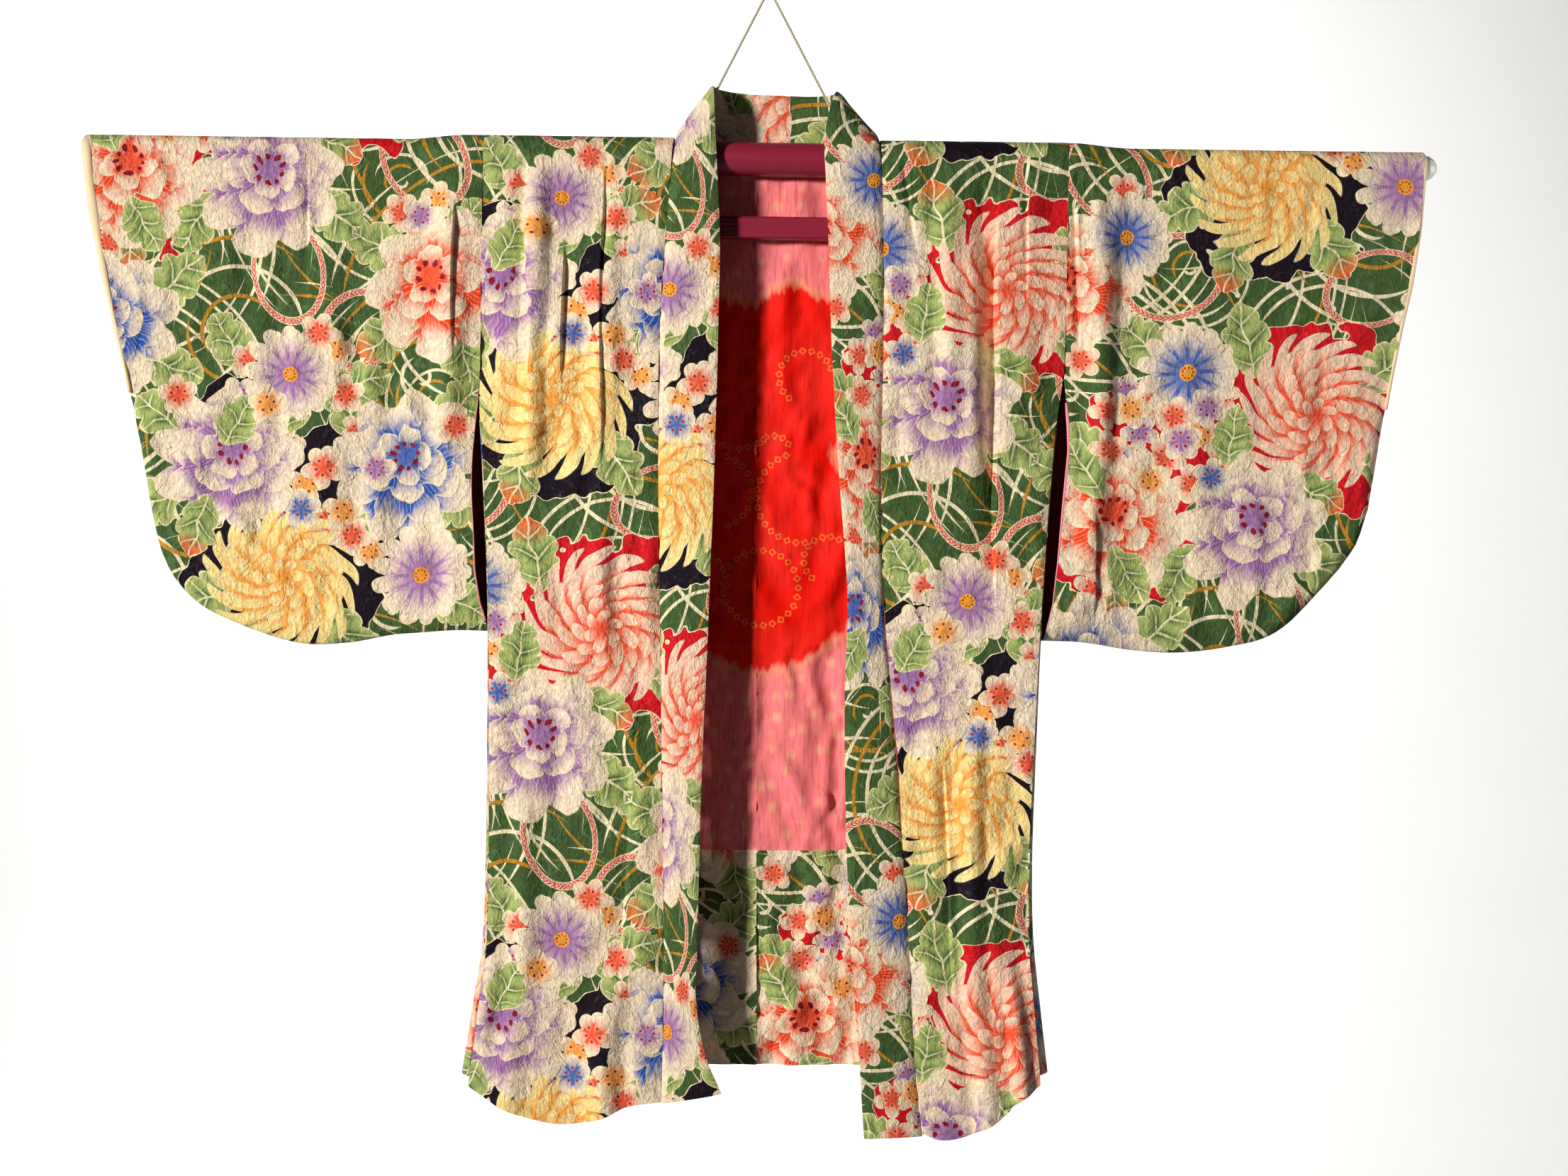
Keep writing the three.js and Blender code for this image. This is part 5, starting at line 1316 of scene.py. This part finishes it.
def tube_mesh(name, tubes, finish):
    """Closed tubes in millimetres, each a list of rings of points, as one object."""
    verts, faces = [], []
    for rings in tubes:
        base, count = sum(len(v) for v in verts), len(rings[0])
        verts.append(np.concatenate(rings))
        for start in range(base, base + (len(rings) - 1) * count, count):
            for j in range(count):
                after = (j + 1) % count
                faces.append([start + j, start + after, start + count + after, start + count + j])
        last = base + (len(rings) - 1) * count
        faces += [list(range(base, base + count))[::-1], list(range(last, last + count))]
    mesh = bpy.data.meshes.new(name)
    mesh.from_pydata((np.concatenate(verts) * MM).tolist(), [], faces)
    mesh.materials.append(finish)
    obj = new_object(name, mesh)
    bpy.ops.object.mode_set(mode="EDIT")
    bpy.ops.mesh.select_all(action="SELECT")
    bpy.ops.mesh.normals_make_consistent(inside=False)
    bpy.ops.object.mode_set(mode="OBJECT")
    bpy.ops.object.shade_smooth()
    obj.select_set(False)
    return obj


# ---- the cord: its route in metres, as the solid has it, from one eye over the hook to the other ----
CORD_RADIUS, CORD_EYE, CORD_BEND = 1.5 * MM, 71 * MM, 6 * MM
CORD_FOOT = (15.5 + 4 + 0.3 + 1) * MM  # the bar's radius, the eye's height, a gap and the knot's half
PLY, PLY_OFF, PITCH = 0.85 * MM, 0.68 * MM, 5.2 * MM  # a ply's radius, its distance from the middle, one turn


def cord_route():
    """Points along the cord: straight up, round the hook, and straight down."""
    centre = np.array([0, 0, CORD_RADIUS - CORD_BEND])
    lean = np.array([[math.cos(TILT), math.sin(TILT)], [-math.sin(TILT), math.cos(TILT)]])
    ends, angles = [], []
    for way in (-1, 1):
        x, z = lean @ (way * CORD_EYE, CORD_FOOT)
        ends.append(np.array([x, 0, BAR_Z * MM + z]))
        to = ends[-1] - centre
        angles.append(math.atan2(to[2], to[0]) + way * math.acos(CORD_BEND / np.linalg.norm(to)))
    if angles[0] < angles[1]:
        angles[0] += 2 * math.pi
    crown = [centre + CORD_BEND * np.array([math.cos(t), 0, math.sin(t)]) for t in np.linspace(*angles, 17)]
    share = np.linspace(0, 1, 24)
    up = [mix(ends[0], crown[0], t) for t in share[:-1]]
    down = [mix(crown[-1], ends[1], t) for t in share[1:]]
    return np.array(up + crown + down)


def hanging_cord():
    """Two plies twisted round the cord's route."""
    route = cord_route()
    run = run_of(route)
    fine = np.linspace(0, run[-1], 420)
    path = np.stack([np.interp(fine, run, route[:, k]) for k in range(3)], -1)
    ahead = np.gradient(path, axis=0)
    ahead /= np.linalg.norm(ahead, axis=1, keepdims=True)
    side = np.array([0, 1.0, 0])
    other = np.cross(ahead, side)
    ring = np.linspace(0, 2 * np.pi, 8, endpoint=False)
    plies = []
    for k in range(2):
        turn = 2 * np.pi * fine / PITCH + k * np.pi
        middle = path + PLY_OFF * (np.cos(turn)[:, None] * side + np.sin(turn)[:, None] * other)
        plies.append([(m + PLY * (np.outer(np.cos(ring), side) + np.outer(np.sin(ring), o))) / MM
                      for m, o in zip(middle, other)])
    obj = tube_mesh("twisted_cord", plies, twisted_thread())
    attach(obj, "root")
    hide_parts("hanging_cord")


# ---- the stage, in metres: camera, lights and backdrop ----
CAMERA_AT, VIEW_FROM, VIEW_WIDTH, SENSOR = (0.0137, -2.24, -0.546), 2.22, 1.4385, 36
FLOOR_Z, FLOOR_START, FLOOR_FLAT, FLOOR_BEND, FLOOR_LONG, FLOOR_WIDE = -1.9, -3.4, 6.6, 1.4, 15, 18
# Name, place, aim, size, watts, spread in degrees, colour: a narrow, low key from the left, a weak fill, a
# touch on the hanger's tip, and a wash on the backdrop.
LIGHTS = [
    ("key", (-4.6, -4.4, 0.5), (0.05, 0, -0.55), 0.8, 33.5, 44, "#fff9f0"),
    ("fill", (2.0, -2.6, 0.2), (0, 0, -0.55), 2.0, 0.8, 180, "#ffffff"),
    ("tip", (0.88, -0.07, -0.22), (0.62, 0, -0.165), 0.08, 0.55, 180, "#ffffff"),
    ("wash", (-0.55, 1.9, 0.9), (-0.4, 4.6, -0.35), 3.0, 165, 180, "#ffffff"),
]


# ---- operators ----
class HAORI_OT_fronts(bpy.types.Operator):
    """Hangs the two front panels"""

    bl_idname = "haori.fronts"
    bl_label = "Front panels"

    def execute(self, context):
        for end in CUT:
            body_piece(end, FRONT)
        return {"FINISHED"}


class HAORI_OT_backs(bpy.types.Operator):
    """Hangs the two back panels"""

    bl_idname = "haori.backs"
    bl_label = "Back panels"

    def execute(self, context):
        for end in CUT:
            body_piece(end, BACK)
        return {"FINISHED"}


class HAORI_OT_sleeves(bpy.types.Operator):
    """Hangs the sleeves and their linings and rolls the cuffs"""

    bl_idname = "haori.sleeves"
    bl_label = "Sleeves"

    def execute(self, context):
        for end in CUT:
            sleeve_piece(end)
            sleeve_lining_piece(end)
        return {"FINISHED"}


class HAORI_OT_collar(bpy.types.Operator):
    """Sews on the collar band"""

    bl_idname = "haori.collar"
    bl_label = "Collar band"

    def execute(self, context):
        for end in CUT:
            collar_piece(end)
        return {"FINISHED"}


class HAORI_OT_gussets(bpy.types.Operator):
    """Sets in the side gussets"""

    bl_idname = "haori.gussets"
    bl_label = "Side gussets"

    def execute(self, context):
        for end in CUT:
            gusset_piece(end)
        return {"FINISHED"}


class HAORI_OT_inside(bpy.types.Operator):
    """Lays the lining and the deep hem inside the back"""

    bl_idname = "haori.inside"
    bl_label = "Lining and hem facing"

    def execute(self, context):
        for part in INSIDE:
            inside_back(part)
        return {"FINISHED"}


class HAORI_OT_hanger(bpy.types.Operator):
    """Finishes the hanger's bars, arms and tips"""

    bl_idname = "haori.hanger"
    bl_label = "Hanger"

    def execute(self, context):
        colours = context.scene.haori_finish
        maroon = moulded_plastic("Moulded maroon polystyrene", colours.plastic)
        ribbed = moulded_plastic("Ribbed maroon polystyrene", colours.plastic, ribs=4.2 * MM)
        cream = moulded_plastic("Moulded cream polystyrene", colours.cap, roughness=0.3)
        finishes = {"hanger_upper_bar": maroon, "hanger_lower_bar": ribbed}
        for end in CUT:
            finishes[f"hanger_yoke_{end}"] = maroon
            finishes[f"hanger_arm_{end}"] = finishes[f"hanger_tip_{end}"] = cream
        for name, finish in finishes.items():
            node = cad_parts[name]
            node.data.materials.clear()
            node.data.materials.append(finish)
        return {"FINISHED"}


class HAORI_OT_cord(bpy.types.Operator):
    """Hangs the twisted cord"""

    bl_idname = "haori.cord"
    bl_label = "Hanging cord"

    def execute(self, context):
        hanging_cord()
        return {"FINISHED"}


class HAORI_OT_stage(bpy.types.Operator):
    """Sets the camera, the lights and the pale backdrop"""

    bl_idname = "haori.stage"
    bl_label = "Camera, light and backdrop"

    def execute(self, context):
        scene = context.scene
        camera = bpy.data.objects.new("camera", bpy.data.cameras.new("camera"))
        camera.location = CAMERA_AT
        camera.rotation_euler = (math.radians(90), 0, 0)
        camera.data.sensor_width = SENSOR
        camera.data.lens = SENSOR * VIEW_FROM / VIEW_WIDTH
        scene.collection.objects.link(camera)
        scene.camera = camera
        for name, place, aim, size, power, spread, colour in LIGHTS:
            light = bpy.data.objects.new(name, bpy.data.lights.new(name, "AREA"))
            light.data.size, light.data.energy, light.data.spread = size, power, math.radians(spread)
            light.data.color = linear(colour)
            light.location = place
            way = np.subtract(aim, place)
            light.rotation_euler = (math.atan2(math.hypot(way[0], way[1]), -way[2]), 0,
                                    math.atan2(way[1], way[0]) - math.pi / 2)
            scene.collection.objects.link(light)
        scene.world = bpy.data.worlds.new("soft light")
        scene.world.use_nodes = True
        tree = scene.world.node_tree
        feed(tree, tree.nodes["Background"], ["#fffefc", 0.03])
        scene.view_settings.view_transform = "Standard"
        self.backdrop()
        return {"FINISHED"}

    def backdrop(self):
        """A pale floor that curves up into a wall behind the jacket."""
        bpy.ops.object.select_all(action="DESELECT")
        bpy.ops.mesh.primitive_grid_add(x_subdivisions=1, y_subdivisions=40, size=1)
        floor = bpy.context.object
        floor.name = "floor"
        for vertex in floor.data.vertices:
            run = (vertex.co.y + 0.5) * FLOOR_LONG
            bend = min(max(run - FLOOR_FLAT, 0), FLOOR_BEND * math.pi / 2) / FLOOR_BEND
            wall = max(run - FLOOR_FLAT - FLOOR_BEND * math.pi / 2, 0)
            vertex.co = (vertex.co.x * FLOOR_WIDE,
                         FLOOR_START + min(run, FLOOR_FLAT) + FLOOR_BEND * math.sin(bend),
                         FLOOR_Z + FLOOR_BEND * (1 - math.cos(bend)) + wall)
        bpy.ops.object.shade_smooth()
        material, tree, shader = new_material("Pale studio floor")
        where = add(tree, "TexCoord", out="Object")
        grain = add(tree, "TexNoise", {"Vector": where, "Scale": 3.0})
        pale = add(tree, "Mix", {0: grain, 6: "#efefed", 7: "#f3f3f2"}, data_type="RGBA")
        feed(tree, shader, {"Base Color": pale, "Roughness": 0.9})
        floor.data.materials.append(material)


class HAORI_PT_panel(bpy.types.Panel):
    """Sizes, colours and steps of the haori"""

    bl_idname = "HAORI_PT_panel"
    bl_label = "Haori"
    bl_space_type = "VIEW_3D"
    bl_region_type = "UI"
    bl_category = "Haori"

    def draw(self, context):
        for group in (context.scene.haori_print, context.scene.haori_finish, context.scene.haori_cloth):
            box = self.layout.box()
            for name in group.__annotations__:
                box.prop(group, name)
        for step in STEPS:
            self.layout.operator(step.bl_idname)


STEPS = (HAORI_OT_stage, HAORI_OT_cord, HAORI_OT_hanger, HAORI_OT_fronts, HAORI_OT_backs, HAORI_OT_sleeves,
         HAORI_OT_collar, HAORI_OT_gussets, HAORI_OT_inside)
CLASSES = (HaoriPrint, HaoriCloth, HaoriFinish, *STEPS, HAORI_PT_panel)


def register():
    for part in CLASSES:
        bpy.utils.register_class(part)
    bpy.types.Scene.haori_print = PointerProperty(type=HaoriPrint)
    bpy.types.Scene.haori_cloth = PointerProperty(type=HaoriCloth)
    bpy.types.Scene.haori_finish = PointerProperty(type=HaoriFinish)


def unregister():
    for name in ("haori_print", "haori_cloth", "haori_finish"):
        delattr(bpy.types.Scene, name)
    for part in reversed(CLASSES):
        bpy.utils.unregister_class(part)


def main():
    register()
    for step in STEPS:
        group, name = step.bl_idname.split(".")
        getattr(getattr(bpy.ops, group), name)()


if __name__ == "__main__":
    main()
